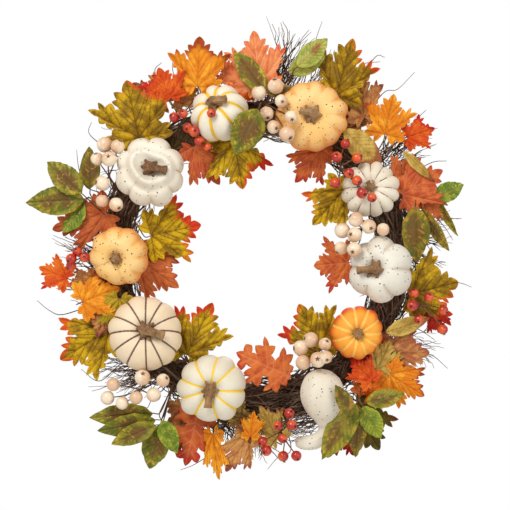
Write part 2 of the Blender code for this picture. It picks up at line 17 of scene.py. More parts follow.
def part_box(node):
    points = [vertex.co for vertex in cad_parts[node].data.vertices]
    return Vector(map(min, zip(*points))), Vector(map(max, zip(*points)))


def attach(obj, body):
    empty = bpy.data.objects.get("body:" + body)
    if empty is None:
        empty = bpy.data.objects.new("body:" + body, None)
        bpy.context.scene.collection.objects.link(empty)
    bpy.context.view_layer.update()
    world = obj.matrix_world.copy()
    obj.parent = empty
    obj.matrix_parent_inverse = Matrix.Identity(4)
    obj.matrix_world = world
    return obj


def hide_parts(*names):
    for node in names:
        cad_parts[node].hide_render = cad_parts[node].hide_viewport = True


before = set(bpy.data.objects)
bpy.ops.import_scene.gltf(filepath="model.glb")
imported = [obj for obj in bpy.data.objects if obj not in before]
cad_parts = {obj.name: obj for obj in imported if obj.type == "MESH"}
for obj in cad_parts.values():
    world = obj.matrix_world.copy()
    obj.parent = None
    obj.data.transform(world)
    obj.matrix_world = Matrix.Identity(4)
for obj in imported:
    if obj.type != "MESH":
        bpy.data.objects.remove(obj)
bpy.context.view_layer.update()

MM = 0.001
FULL_TURN = 2 * math.pi
BODY = "wreath"
FRONT = np.array((0.0, -1.0, 0.0))

# The ring's size and centre come from the hoop in the frame.
hoop_low, hoop_high = (np.array(corner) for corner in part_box("wire_hoop"))
RING_CENTRE = (hoop_low + hoop_high) / 2
HOOP_WIRE = (hoop_high[1] - hoop_low[1]) / 2
RING_RADIUS = (hoop_high[0] - hoop_low[0]) / 2 - HOOP_WIRE


def place(x, z, depth):
    """A place on the wreath as a point of the frame, in metres."""
    return RING_CENTRE + np.array((x, -depth, z)) * MM


def heading_vector(degrees):
    """Direction in the wreath's plane: 0 is right, 90 is up."""
    angle = math.radians(degrees)
    return np.array((math.cos(angle), 0.0, math.sin(angle)))


def normalised(vector):
    return vector / max(np.linalg.norm(vector), 1e-9)


def box_centre(node):
    low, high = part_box(node)
    return (np.array(low) + np.array(high)) / 2


def clamp(value):
    return min(max(value, 0.0), 1.0)


def hand_over(obj, replaced=None):
    """Fixes a piece to the wreath and, if there is one, hides the CAD node it replaces."""
    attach(obj, BODY)
    if replaced:
        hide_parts(replaced)


# ---------------------------------------------------------------- meshes

# What a vertex without a pattern of its own holds in its first three values
PLAIN = (0.5, 0.5, 0.5)
# The ring of a tube starts across this direction, which no path follows.
TUBE_SKEW = (0.3, 0.5, 0.8)


class Skin:
    """Collects points, faces and their values, and turns them into one object."""

    def __init__(self):
        self.points = []
        self.values = []
        self.faces = []
        self.slots = []
        self.count = 0

    def add(self, points, faces, values, slot=0):
        """values is one row of four numbers for all points or for each; the last is the part's own chance."""
        self.points.append(np.asarray(points, float))
        self.values.append(np.broadcast_to(np.asarray(values, float), (len(points), 4)))
        self.faces.extend([tuple(i + self.count for i in face) for face in faces])
        self.slots.extend([slot] * len(faces))
        self.count += len(points)

    def build(self, name, materials):
        mesh = bpy.data.meshes.new(name)
        mesh.from_pydata(np.concatenate(self.points).tolist(), [], self.faces)
        mesh.polygons.foreach_set("material_index", self.slots)
        mesh.polygons.foreach_set("use_smooth", [True] * len(self.faces))
        tone = mesh.attributes.new("tone", "FLOAT_COLOR", "POINT")
        tone.data.foreach_set("color", np.concatenate(self.values).ravel())
        for material in materials:
            mesh.materials.append(material)
        obj = bpy.data.objects.new(name, mesh)
        bpy.context.scene.collection.objects.link(obj)
        return obj


def grid_faces(rows, columns, flip=False):
    """Quads between rows of points that close round the columns."""
    faces = []
    for i in range(rows - 1):
        for j in range(columns):
            k = (j + 1) % columns
            a = i * columns
            b = a + columns
            quad = (a + j, a + k, b + k, b + j)
            faces.append(quad[::-1] if flip else quad)
    return faces


def bar_faces(rows, columns):
    """The same quads with a flat face at each end."""
    first = tuple(reversed(range(columns)))
    last = tuple(range((rows - 1) * columns, rows * columns))
    return grid_faces(rows, columns) + [first, last]


def smooth_path(points, count):
    """A smooth curve through the points (Catmull-Rom), as count points."""
    points = np.asarray(points, float)
    padded = np.vstack([2 * points[0] - points[1], points, 2 * points[-1] - points[-2]])
    spans = len(points) - 1
    result = []
    for t in np.linspace(0, spans, count):
        i = min(int(t), spans - 1)
        f = t - i
        a, b, c, d = padded[i:i + 4]
        square = 2 * a - 5 * b + 4 * c - d
        cube = 3 * b - a - 3 * c + d
        result.append(0.5 * (2 * b + (c - a) * f + square * f * f + cube * f ** 3))
    return np.array(result)


def rings(path, side, radii):
    """Rings of points square to a path, which start at side. radii has a row for each point of the path."""
    ahead = np.vstack([path[1:], path[-1:]]) - np.vstack([path[:1], path[:-1]])
    angles = FULL_TURN * np.arange(radii.shape[1]) / radii.shape[1]
    cosines = np.cos(angles)[:, None]
    sines = np.sin(angles)[:, None]
    result = []
    for point, way, reach in zip(path, ahead, radii):
        way = normalised(way)
        side = normalised(side - way * side.dot(way))
        result.append(point + (cosines * side + sines * np.cross(way, side)) * reach[:, None])
    return np.concatenate(result)


def add_tube(skin, path, taper, sides, chance, slot=0):
    """A closed round bar of bark along a path. taper is its first and its last radius, in millimetres."""
    path = np.asarray(path, float)
    radii = np.tile(np.linspace(*taper, len(path))[:, None] * MM, (1, sides))
    points = rings(path, np.cross(path[1] - path[0], TUBE_SKEW), radii)
    skin.add(points, bar_faces(len(path), sides), (*PLAIN, chance), slot)


# ---------------------------------------------------------------- materials


def linear(colour):
    """An sRGB colour as linear RGBA."""
    result = []
    for value in colour:
        value /= 255
        result.append(value / 12.92 if value <= 0.04045 else ((value + 0.055) / 1.055) ** 2.4)
    return (*result, 1.0)


class Nodes:
    """Short calls for building a material's node tree. A colour is a socket or an sRGB colour."""

    def __init__(self, name, **sockets):
        self.material = bpy.data.materials.new(name)
        self.material.use_nodes = True
        self.tree = self.material.node_tree
        self.shader = self.tree.nodes["Principled BSDF"]
        self.coordinates = self.tree.nodes.new("ShaderNodeTexCoord").outputs["Object"]
        self.set(**sockets)

    def set(self, **sockets):
        """Gives the shader's sockets a value or a link; returns the material."""
        for socket, value in sockets.items():
            self.put(self.shader.inputs[socket.replace("_", " ")], value)
        return self.material

    def put(self, socket, value):
        if isinstance(value, bpy.types.NodeSocket):
            self.tree.links.new(value, socket)
        else:
            socket.default_value = value

    def node(self, kind, inputs, **settings):
        node = self.tree.nodes.new(kind)
        for key, value in settings.items():
            setattr(node, key, value)
        for socket, value in inputs.items():
            self.put(node.inputs[socket], value)
        return node

    def tone(self):
        """The four values stored on the vertices."""
        source = self.node("ShaderNodeAttribute", {}, attribute_name="tone")
        split = self.node("ShaderNodeSeparateColor", {"Color": source.outputs["Color"]})
        return (*split.outputs, source.outputs["Alpha"])

    def noise(self, scale, detail=3.0, roughness=0.55, distortion=0.0):
        inputs = {
            "Vector": self.coordinates, "Scale": scale, "Detail": detail, "Roughness": roughness,
            "Distortion": distortion,
        }
        return self.node("ShaderNodeTexNoise", inputs).outputs["Fac"]

    def voronoi(self, scale, feature="F1"):
        inputs = {"Vector": self.coordinates, "Scale": scale}
        return self.node("ShaderNodeTexVoronoi", inputs, feature=feature)

    def ramp(self, value, low, high, kind="SMOOTHSTEP"):
        """0 at low and below, 1 at high and above."""
        inputs = {"Value": value, "From Min": low, "From Max": high}
        return self.node("ShaderNodeMapRange", inputs, interpolation_type=kind).outputs["Result"]

    def math(self, operation, a, b):
        return self.node("ShaderNodeMath", {0: a, 1: b}, operation=operation).outputs[0]

    def plus(self, a, b):
        return self.math("ADD", a, b)

    def minus(self, a, b):
        return self.math("SUBTRACT", a, b)

    def times(self, a, b):
        return self.math("MULTIPLY", a, b)

    def swing(self, noise, size):
        """A value from 0 to 1 as one that swings round 0, with that size in all."""
        return self.times(self.minus(noise, 0.5), size)

    def mix(self, factor, a, b, blend="MIX"):
        """Colour a with as much of colour b as the factor says."""
        a, b = (linear(colour) if isinstance(colour, tuple) else colour for colour in (a, b))
        inputs = {0: factor, 6: a, 7: b}        # the numbers of the node's colour sockets
        return self.node("ShaderNodeMix", inputs, data_type="RGBA", blend_type=blend).outputs[2]

    def bumps(self, *layers):
        """Bumps on top of each other; a layer is its height, strength and distance in metres."""
        normal = None
        for height, strength, distance in layers:
            inputs = {"Height": height, "Strength": strength, "Distance": distance}
            if normal:
                inputs["Normal"] = normal
            normal = self.node("ShaderNodeBump", inputs).outputs["Normal"]
        return normal


# Strength of the shade by which one leaf differs from the next
LEAF_TO_LEAF = 0.2
# Over how much of its range a margin or bloom fades in
SOFT_EDGE = 0.4


def leaf_material(name, centre, mid, edge, blush, vein, edge_start, vein_strength):
    """Printed cloth leaf: mottled body, coloured margins and tips, a net of veins and a woven grain."""
    n = Nodes(name, Roughness=0.6, Specular_IOR_Level=0.22)
    margin, veins, tip, chance = n.tone()
    patch = n.noise(68, 5, 0.6)
    fine = n.noise(420, 3, 0.6)
    body = n.mix(n.ramp(n.plus(patch, n.swing(chance, 0.12)), 0.40, 0.60), centre, mid)
    body = n.mix(n.times(n.ramp(fine, 0.45, 0.75), 0.25), body, mid)
    body = n.mix(n.times(n.ramp(veins, 0.05, 0.85), 0.32 * vein_strength), body, vein)
    # The margins' colour reaches furthest in at the tips and where a patch is light.
    reach = n.plus(n.plus(n.times(margin, 0.48), n.times(tip, 1.05)), n.swing(patch, 1.2))
    rim = n.mix(n.ramp(n.plus(tip, n.swing(n.noise(34), 0.8)), 0.38, 0.72), edge, blush)
    colour = n.mix(n.times(n.ramp(reach, edge_start, edge_start + SOFT_EDGE), 0.92), body, rim)
    colour = n.mix(n.times(n.ramp(veins, 0.74, 0.95), vein_strength), colour, vein)
    net = n.ramp(n.voronoi(300, "DISTANCE_TO_EDGE").outputs["Distance"], 0.10, 0.02)
    colour = n.mix(n.times(net, 0.35 * vein_strength), colour, vein)
    shade = n.ramp(n.plus(chance, n.times(patch, 0.3)), 0.0, 1.3, "LINEAR")
    colour = n.mix(LEAF_TO_LEAF, colour, n.mix(shade, (60, 40, 20), (255, 235, 190)), "SOFT_LIGHT")
    normal = n.bumps((net, 0.3, 0.0006), (fine, 0.35, 0.0006), (n.noise(150, 3, 0.5), 0.6, 0.0022))
    return n.set(Base_Color=colour, Normal=normal)


def oval_leaf_material(name, green, light, fleck, bloom_colour, bloom_start):
    """Variegated oval leaf: green, a brown bloom along the middle and pale yellow flecks."""
    n = Nodes(name, Roughness=0.52, Specular_IOR_Level=0.3)
    margin, veins, _, chance = n.tone()
    body = n.mix(n.ramp(n.noise(75, 5, 0.6), 0.40, 0.62), green, light)
    middle = n.plus(n.minus(1.0, margin), n.swing(n.noise(46), 2.2))
    bloom = n.ramp(middle, bloom_start, bloom_start + SOFT_EDGE)
    colour = n.mix(n.times(bloom, 0.85), body, bloom_colour)
    blots = n.noise(130, 4, 0.65, distortion=1.2)
    flecks = n.ramp(n.minus(blots, n.times(bloom, 0.04)), 0.52, 0.64)
    colour = n.mix(n.times(flecks, 0.75), colour, fleck)
    colour = n.mix(n.times(n.ramp(veins, 0.1, 0.9), 0.35), colour, (70, 70, 30))
    colour = n.mix(LEAF_TO_LEAF, colour, n.mix(chance, (70, 60, 30), (240, 240, 190)), "SOFT_LIGHT")
    normal = n.bumps((n.noise(500), 0.25, 0.0005), (n.noise(150, 3, 0.5), 0.5, 0.0018))
    return n.set(Base_Color=colour, Normal=normal)


def speck_mask(n, scale, share, fade):
    """Dots in a share of the cells of a grid, from faint to sharp between the two distances of fade.

    Also returns a second random value of each cell.
    """
    cells = n.voronoi(scale)
    chances = n.node("ShaderNodeSeparateColor", {"Color": cells.outputs["Color"]}).outputs
    chosen = n.math("GREATER_THAN", chances[0], 1.0 - share)
    return n.times(n.ramp(cells.outputs["Distance"], *fade), chosen), chances[1]


def pumpkin_material(
    name, skin, shade, groove, line=None, line_mm=0.0, line_soft=0.35, line_breaks=False, specks=0.0,
    blush=None,
):
    """Painted foam: painted shade into the grooves, partly the fruit's own deeper colour on the yellow and
    orange ones, optional painted lines, dark specks and a pitted skin.
    """
    n = Nodes(name, Roughness=0.55, Specular_IOR_Level=0.35)
    rib, groove_mm, latitude = n.tone()[:3]
    cloud = n.noise(28)
    colour = n.mix(n.ramp(cloud, 0.38, 0.7), skin, shade)
    # Painted shade: the groove colour deepens the valleys between the lobes, where the rib value is low.
    colour = n.mix(n.ramp(n.plus(rib, n.swing(cloud, 0.5)), 0.55, 0.0), colour, groove)
    if blush:
        colour = n.mix(n.ramp(n.plus(latitude, n.swing(cloud, 0.6)), 0.72, 0.15), colour, blush)
    if line:
        distance = n.plus(groove_mm, n.swing(n.noise(260, 2), 0.9))
        ink = n.ramp(distance, line_mm / 2 + line_soft, line_mm / 2 - line_soft)
        ink = n.times(ink, n.plus(0.72, n.times(n.ramp(n.noise(600), 0.25, 0.6), 0.28)))
        if line_breaks:
            ink = n.times(ink, n.ramp(n.noise(85, 2), 0.44, 0.50))
            ink = n.times(ink, n.ramp(latitude, 0.99, 0.93))
        colour = n.mix(ink, colour, line)
    if specks:
        dots, size = speck_mask(n, 190, specks, (0.24, 0.15))
        strength = n.plus(0.45, n.times(n.ramp(size, 0.1, 0.9), 0.55))
        colour = n.mix(n.times(dots, strength), colour, (52, 44, 38))
        dust, _ = speck_mask(n, 420, 0.1, (0.22, 0.12))
        colour = n.mix(n.times(dust, 0.45), colour, (90, 78, 66))
    normal = n.bumps((n.noise(330, 4, 0.6), 0.22, 0.0008), (n.noise(60), 0.35, 0.002))
    return n.set(Base_Color=colour, Normal=normal)


def bark_material(name, dark, light, pale, scale=1.0):
    """Dry bark: streaks of two browns, pale scuffs and a rough grain."""
    n = Nodes(name, Roughness=0.85)
    chance = n.tone()[3]
    streak = n.noise(300 * scale, 4, 0.65)
    colour = n.mix(n.ramp(streak, 0.35, 0.65), dark, light)
    scuff = n.ramp(n.plus(n.noise(60 * scale), n.times(chance, 0.4)), 0.6, 0.95)
    colour = n.mix(n.times(scuff, 0.7), colour, pale)
    return n.set(Base_Color=colour, Normal=n.bumps((streak, 0.7, 0.0010)))


def berry_material(name, body, pale, deep, gloss):
    """Moulded berry: a painted highlight on one side turned a random way, deeper colour round the calyx,
    faint mottling and a waxy gloss.
    """
    n = Nodes(name, Roughness=0.36, Coat_Weight=gloss, Coat_Roughness=0.18)
    crown, highlight_side = n.tone()[:2]
    mottle = n.noise(160)
    fine = n.noise(700)
    # Painted highlight: the pale colour on the side that the second value marks.
    colour = n.mix(n.ramp(n.plus(highlight_side, n.swing(mottle, 0.9)), 0.3, 0.85), body, pale)
    colour = n.mix(n.ramp(n.plus(crown, n.swing(mottle, 0.5)), 0.62, 1.0), colour, deep)
    colour = n.mix(n.times(n.ramp(fine, 0.55, 0.8), 0.25), colour, deep)
    return n.set(Base_Color=colour, Normal=n.bumps((fine, 0.12, 0.0004)))


def metal_material(name, colour):
    n = Nodes(name, Metallic=1.0)
    streak = n.noise(900, 2)
    tint = n.mix(n.ramp(streak, 0.3, 0.7), colour, tuple(c * 0.8 for c in colour))
    return n.set(Base_Color=tint, Normal=n.bumps((streak, 0.2, 0.0002)), Roughness=n.ramp(streak, -1.5, 2.2))


# finish: centre, second body colour, margin, tips, veins, where the margin's colour starts, veins' strength
LEAF_COLOURS = {
    "olive": ((144, 110, 2), (210, 170, 14), (232, 128, 22), (216, 78, 18), (76, 46, 2), 0.80, 0.66),
    "olive_red": ((144, 112, 2), (212, 174, 14), (224, 100, 24), (204, 18, 18), (76, 46, 4), 0.62, 0.66),
    "olive_plain": ((142, 122, 14), (184, 156, 36), (198, 144, 40), (198, 110, 50), (88, 70, 10), 0.95, 0.55),
    "coral": ((176, 70, 34), (204, 106, 48), (208, 112, 52), (176, 36, 28), (228, 144, 96), 0.85, 0.34),
    "salmon": ((214, 106, 60), (228, 136, 84), (242, 180, 124), (210, 86, 50), (248, 194, 148), 0.85, 0.34),
    "rust": ((164, 70, 30), (190, 98, 48), (214, 134, 76), (144, 44, 24), (214, 138, 90), 0.85, 0.30),
    "amber": ((224, 134, 16), (242, 172, 44), (200, 82, 16), (152, 48, 18), (180, 80, 10), 0.76, 0.52),
    "orange": ((232, 98, 14), (244, 132, 34), (222, 64, 18), (206, 40, 20), (192, 58, 10), 0.8, 0.45),
    "flame": ((208, 74, 16), (232, 118, 30), (208, 52, 16), (190, 20, 16), (170, 42, 10), 0.75, 0.44),
    "mauve": ((176, 106, 68), (206, 152, 90), (172, 86, 64), (140, 66, 62), (128, 70, 42), 0.78, 0.45),
    "khaki": ((176, 142, 64), (206, 178, 96), (174, 104, 56), (146, 76, 50), (120, 86, 38), 0.8, 0.45),
    "wine": ((152, 20, 12), (182, 44, 20), (190, 56, 24), (112, 10, 10), (88, 8, 6), 0.85, 0.4),
    "moss": ((86, 76, 8), (118, 98, 16), (140, 74, 14), (146, 30, 14), (54, 36, 4), 0.85, 0.5),
    "dark": ((54, 42, 18), (80, 58, 24), (98, 58, 28), (64, 28, 18), (32, 24, 12), 0.9, 0.45),
}
# finish: green, lighter green, flecks, bloom along the middle, and where the bloom starts
OVAL_COLOURS = {
    "variegated": ((98, 100, 18), (146, 136, 34), (202, 172, 62), (116, 72, 36), 0.42),
    "mottled": ((104, 112, 22), (158, 148, 38), (206, 166, 60), (120, 80, 36), 0.62),
    "fresh": ((92, 122, 24), (144, 158, 42), (194, 184, 76), (136, 90, 44), 1.0),
    "brown_green": ((92, 90, 20), (132, 118, 30), (202, 146, 50), (108, 70, 30), 0.46),
    "pale": ((138, 152, 56), (178, 180, 88), (206, 186, 104), (164, 92, 54), 0.82),
}
LEAF_FINISHES = {key: leaf_material(f"leaf_{key}", *look) for key, look in LEAF_COLOURS.items()}
LEAF_FINISHES |= {key: oval_leaf_material(f"oval_{key}", *look) for key, look in OVAL_COLOURS.items()}
TWIG_BARK = bark_material("twig_bark", (54, 38, 30), (104, 76, 58), (160, 132, 110))
CORE_BARK = bark_material("twig_core", (54, 34, 24), (98, 66, 46), (128, 92, 66))
STEM_BARK = bark_material("stem_bark", (86, 56, 34), (138, 100, 64), (184, 146, 104), 0.8)
STALK_BARK = bark_material("stalk_bark", (70, 44, 26), (112, 74, 44), (136, 100, 64))
CALYX = bark_material("calyx", (70, 44, 30), (104, 70, 48), (126, 92, 62))
# A berry's colours: body, painted highlight, the deeper colour round the calyx, then the gloss.
BERRY_MATERIALS = {
    "berry_cream": berry_material("berry_cream", (224, 188, 156), (240, 222, 198), (194, 134, 96), 0.35),
    "berry_red": berry_material("berry_red", (176, 27, 13), (220, 84, 28), (100, 14, 8), 0.6),
}
WIRE = metal_material("hanger_wire", (176, 176, 180))


# ---------------------------------------------------------------- leaves

# Half of a maple leaf's outline, from the base round to the tip, as parts of its length: along, across
MAPLE_HALF = [
    (0.0, 0.0), (-0.04, 0.08), (-0.12, 0.13), (-0.22, 0.30), (-0.10, 0.34), (-0.12, 0.50), (-0.04, 0.68),
    (0.05, 0.56), (0.13, 0.64), (0.15, 0.49), (0.23, 0.44), (0.26, 0.54), (0.36, 0.58), (0.38, 0.67),
    (0.48, 0.67), (0.65, 0.86), (0.61, 0.64), (0.74, 0.62), (0.61, 0.49), (0.67, 0.39), (0.55, 0.31),
    (0.52, 0.24), (0.59, 0.29), (0.70, 0.37), (0.70, 0.24), (0.84, 0.30), (0.81, 0.14), (0.90, 0.12),
    (1.0, 0.0),
]
# Main and side veins of the half leaf: start, end, part of full strength
MAPLE_VEINS = [
    ((0.0, 0.0), (0.60, 0.78), 1.0), ((0.0, 0.0), (-0.03, 0.62), 0.9), ((0.26, 0.0), (0.67, 0.33), 0.65),
    ((0.46, 0.0), (0.80, 0.27), 0.6), ((0.66, 0.0), (0.91, 0.14), 0.5), ((0.14, 0.0), (0.50, 0.28), 0.45),
    ((0.20, 0.26), (0.37, 0.64), 0.6), ((0.32, 0.42), (0.46, 0.64), 0.5), ((0.32, 0.42), (0.70, 0.59), 0.6),
    ((0.20, 0.26), (0.60, 0.40), 0.5), ((0.12, 0.16), (0.27, 0.52), 0.5), ((0.0, 0.22), (0.14, 0.50), 0.45),
    ((-0.01, 0.36), (0.11, 0.58), 0.45), ((-0.01, 0.16), (-0.19, 0.28), 0.6),
    ((-0.01, 0.30), (-0.10, 0.48), 0.45),
]
# Long leaf with pairs of jagged lobes
LOBED_HALF = [
    (0.0, 0.0), (0.05, 0.06), (0.02, 0.17), (0.11, 0.19), (0.13, 0.36), (0.22, 0.30), (0.33, 0.40),
    (0.31, 0.24), (0.36, 0.14), (0.44, 0.19), (0.45, 0.36), (0.55, 0.33), (0.68, 0.44), (0.64, 0.28),
    (0.74, 0.25), (0.66, 0.13), (0.76, 0.12), (0.80, 0.22), (0.91, 0.18), (0.89, 0.07), (1.0, 0.0),
]
LOBED_VEINS = [
    ((0.05, 0.0), (0.13, 0.34), 0.6), ((0.12, 0.0), (0.32, 0.38), 0.7), ((0.32, 0.0), (0.46, 0.34), 0.6),
    ((0.42, 0.0), (0.66, 0.42), 0.7), ((0.60, 0.0), (0.80, 0.21), 0.6), ((0.72, 0.0), (0.90, 0.17), 0.5),
]
# Form of each kind of leaf: natural width as part of its length, how far the cloth bulges between the veins,
# how far the margin's colour reaches in
LEAF_FORMS = {"maple": (1.68, 0.050, 0.13), "lobed": (0.84, 0.034, 0.10), "oval": (1.0, 0.026, 0.26)}
# Parts of a leaf's length: how far its corners wander, how far its margin sags between them, how far a vein's
# shading and crease reach, how high the margins ripple, and where the tips' colour starts
OUTLINE_WANDER = 0.018
OUTLINE_SAG = 0.09
VEIN_REACH = 0.075
CREASE_REACH = 0.05
RIPPLE = 0.05
TIPS_START = 0.38
# The mesh inside the outline: steps along a vein, how far beside it its shoulders run as part of its shading,
# steps of a three-cornered grid that covers the widest leaf, and least gaps to the margin and between points
VEIN_STEP = 0.035
VEIN_SHOULDER = 0.36
GRID_STEP = 0.042
GRID_ROW_RATIO = 0.87
GRID_ROWS = range(-8, 28)
GRID_COLUMNS = range(-20, 21)
MARGIN_GAP = 0.012
POINT_GAP = 0.009
# An oval leaf: points along half its outline, how blunt its tip is, and side veins on each side
OVAL_STEPS = 18
OVAL_BLUNTNESS = 0.85
OVAL_SIDE_VEINS = 7
# Millimetres: the cloth's thickness, and the first and last radius of a pick's stalk and of a leaf's wire
CLOTH_THICKNESS = 0.5
STALK_TAPER = (1.4, 1.4)
LEAF_WIRE_TAPER = (1.0, 0.6)
LEAF_WIRE_POINTS = 16


def mirrored(points):
    return [(along, -across) for along, across in points]


def oval_half(rng):
    half = []
    for i in range(OVAL_STEPS + 1):
        s = i / OVAL_STEPS
        reach = 0.5 * math.sin(math.pi * s ** OVAL_BLUNTNESS) ** 0.9
        half.append((s, reach * (1 + 0.03 * math.sin(9 * s + rng.random()))))
    return half


def leaf_outline(kind, rng):
    """The leaf's outline as a closed loop of points, each side a little different."""
    if kind == "oval":
        half = oval_half(rng)
    else:
        half = MAPLE_HALF if kind == "maple" else LOBED_HALF
    sides = []
    for side in (half, mirrored(half)):
        corners = []
        for spot in side[1:-1]:
            corners.append(tuple(part + rng.uniform(-OUTLINE_WANDER, OUTLINE_WANDER) for part in spot))
        sides.append([side[0]] + corners + [side[-1]])
    loop = sides[0] + sides[1][-2:0:-1]
    if kind == "oval":
        return np.array(loop)
    # Between two corners the margin sags a little.
    fine = []
    for start, end in zip(loop, loop[1:] + loop[:1]):
        run = np.subtract(end, start)
        sag = np.array((-run[1], run[0])) * OUTLINE_SAG
        for f in (0.0, 0.34, 0.67):
            fine.append(np.array(start) + run * f + sag * math.sin(math.pi * f))
    return np.array(fine)


def leaf_veins(kind):
    """Veins as (start, end, strength)."""
    if kind == "oval":
        half = []
        for i in range(OVAL_SIDE_VEINS):
            s = 0.12 + 0.68 * i / OVAL_SIDE_VEINS
            half.append(((s, 0.0), (s + 0.20, 0.40 * math.sin(math.pi * (s + 0.12) ** OVAL_BLUNTNESS)), 0.45))
    else:
        half = MAPLE_VEINS if kind == "maple" else LOBED_VEINS
    veins = [((0.0, 0.0), (0.97, 0.0), 1.0)]
    for start, end, strength in half:
        veins.append((start, end, strength))
        veins.append((*mirrored((start, end)), strength))
    return veins


def vein_width(along, strength):
    """How far a vein's shading reaches to each side."""
    return VEIN_REACH * (1.25 - 0.6 * along) * (0.35 + 0.65 * strength)


def distance_to_segment(points, start, end):
    """Distance of each point to a segment, and how far along it the nearest place is."""
    start = np.array(start)
    run = np.array(end) - start
    along = np.clip((points - start) @ run / (run @ run), 0, 1)
    return np.linalg.norm(points - (start + along[:, None] * run), axis=1), along


def distance_to_outline(points, loop):
    distance = np.full(len(points), np.inf)
    for start, end in zip(loop, np.roll(loop, -1, axis=0)):
        distance = np.minimum(distance, distance_to_segment(points, start, end)[0])
    return distance


def inside(points, loop):
    """Whether each point is inside the closed loop."""
    x, y = points[:, 0], points[:, 1]
    result = np.zeros(len(points), bool)
    for (ax, ay), (bx, by) in zip(loop, np.roll(loop, -1, axis=0)):
        if ay != by:
            result ^= ((ay > y) != (by > y)) & (x < (bx - ax) * (y - ay) / (by - ay) + ax)
    return result


def inner_points(loop, veins):
    """Points of the sheet inside its outline: three rows along each vein, and an even grid."""
    points = []
    for start, end, strength in veins:
        run = np.subtract(end, start)
        length = np.linalg.norm(run)
        across = np.array((-run[1], run[0])) / length
        steps = max(int(length / VEIN_STEP), 2)
        for i in range(steps + 1):
            f = i / steps
            width = vein_width(f, strength) * VEIN_SHOULDER
            for side in (-1, 0, 1):
                points.append(np.array(start) + run * f + across * side * width)
    for i in GRID_ROWS:
        shift = GRID_STEP / 2 if i % 2 else 0.0
        for j in GRID_COLUMNS:
            points.append(np.array((i * GRID_STEP * GRID_ROW_RATIO, j * GRID_STEP + shift)))
    points = np.array(points)
    points = points[inside(points, loop)]
    points = points[distance_to_outline(points, loop) > MARGIN_GAP]
    kept = {}
    for point in points:
        kept.setdefault((round(point[0] / POINT_GAP), round(point[1] / POINT_GAP)), point)
    return list(kept.values())


def leaf_sheet(kind, rng):
    """Flat leaf of unit length: points, triangles, distance to the margin, veins' shading and creases."""
    loop = leaf_outline(kind, rng)
    veins = leaf_veins(kind)
    count = len(loop)
    edges = [(i, (i + 1) % count) for i in range(count)]
    coordinates = [Vector(point) for point in (*loop, *inner_points(loop, veins))]
    result = delaunay_2d_cdt(coordinates, edges, [], 1, 1e-5)
    points = np.array([tuple(v) for v in result[0]])
    triangles = [tuple(face) for face in result[2]]
    vein = np.zeros(len(points))
    crease = np.zeros(len(points))
    for start, end, strength in veins:
        distance, along = distance_to_segment(points, start, end)
        vein = np.maximum(vein, np.clip(1 - distance / vein_width(along, strength), 0, 1))
        crease = np.maximum(crease, strength * np.exp(-(distance / CREASE_REACH) ** 2))
    return points, triangles, distance_to_outline(points, loop), vein, crease


# A leaf: kind, finish, x and z of its base, heading of its midrib, size, depth of its base, how it is turned
# and curled and, where it matters, the side whose tips are reddest, in degrees from the midrib
Leaf = namedtuple(
    "Leaf", "kind finish x z heading length width depth pitch roll curl side", defaults=(0, 0, 0.08, None)
)


def leaf_axes(leaf):
    """The leaf's own axes: along the midrib, across it, and out of its face."""
    flat = heading_vector(leaf.heading)
    rise = math.radians(leaf.pitch)
    along = flat * math.cos(rise) + FRONT * math.sin(rise)
    out = FRONT * math.cos(rise) - flat * math.sin(rise)
    across = np.cross(out, along)
    turn = math.radians(leaf.roll)
    return (
        along,
        across * math.cos(turn) + out * math.sin(turn),
        out * math.cos(turn) - across * math.sin(turn),
    )


def add_leaf(skin, slot, leaf, seed):
    """One leaf with embossed veins, a curl along its length and rippled margins."""
    rng = random.Random(seed)
    points, triangles, margin, vein, crease = leaf_sheet(leaf.kind, rng)
    natural_width, bulge, margin_reach = LEAF_FORMS[leaf.kind]
    u, v = points[:, 0], points[:, 1] * leaf.width / (leaf.length * natural_width)
    radius = np.hypot(u, v)
    phase = rng.uniform(0, 6.28)
    ripple = np.sin(7.5 * np.arctan2(v, u + 0.2) + phase) * radius ** 1.6
    ripple += 0.6 * np.sin(11 * u + phase * 2) * np.abs(v)
    fold = rng.uniform(-0.10, 0.12)
    twist = rng.uniform(-0.14, 0.14)
    height = bulge * (1 - crease) - leaf.curl * radius ** 2
    height += fold * np.abs(v) + RIPPLE * ripple + twist * u * v
    closeness = 1 - np.clip(margin / margin_reach, 0, 1)
    reddest = rng.uniform(-80, 80)
    if leaf.side is not None:
        reddest = leaf.side
    toward = np.clip(np.cos(1.3 * (np.arctan2(v, u) - math.radians(reddest))), 0, 1)
    tip = np.clip((radius - TIPS_START) / 0.5, 0, 1) * (0.2 + 0.8 * toward)
    values = np.stack([closeness, vein, tip, np.full(len(points), rng.random())], axis=1)
    offsets = np.stack([u, v, height], axis=1) @ np.stack(leaf_axes(leaf))
    skin.add(place(leaf.x, leaf.z, leaf.depth) + offsets * leaf.length * MM, triangles, values, slot)


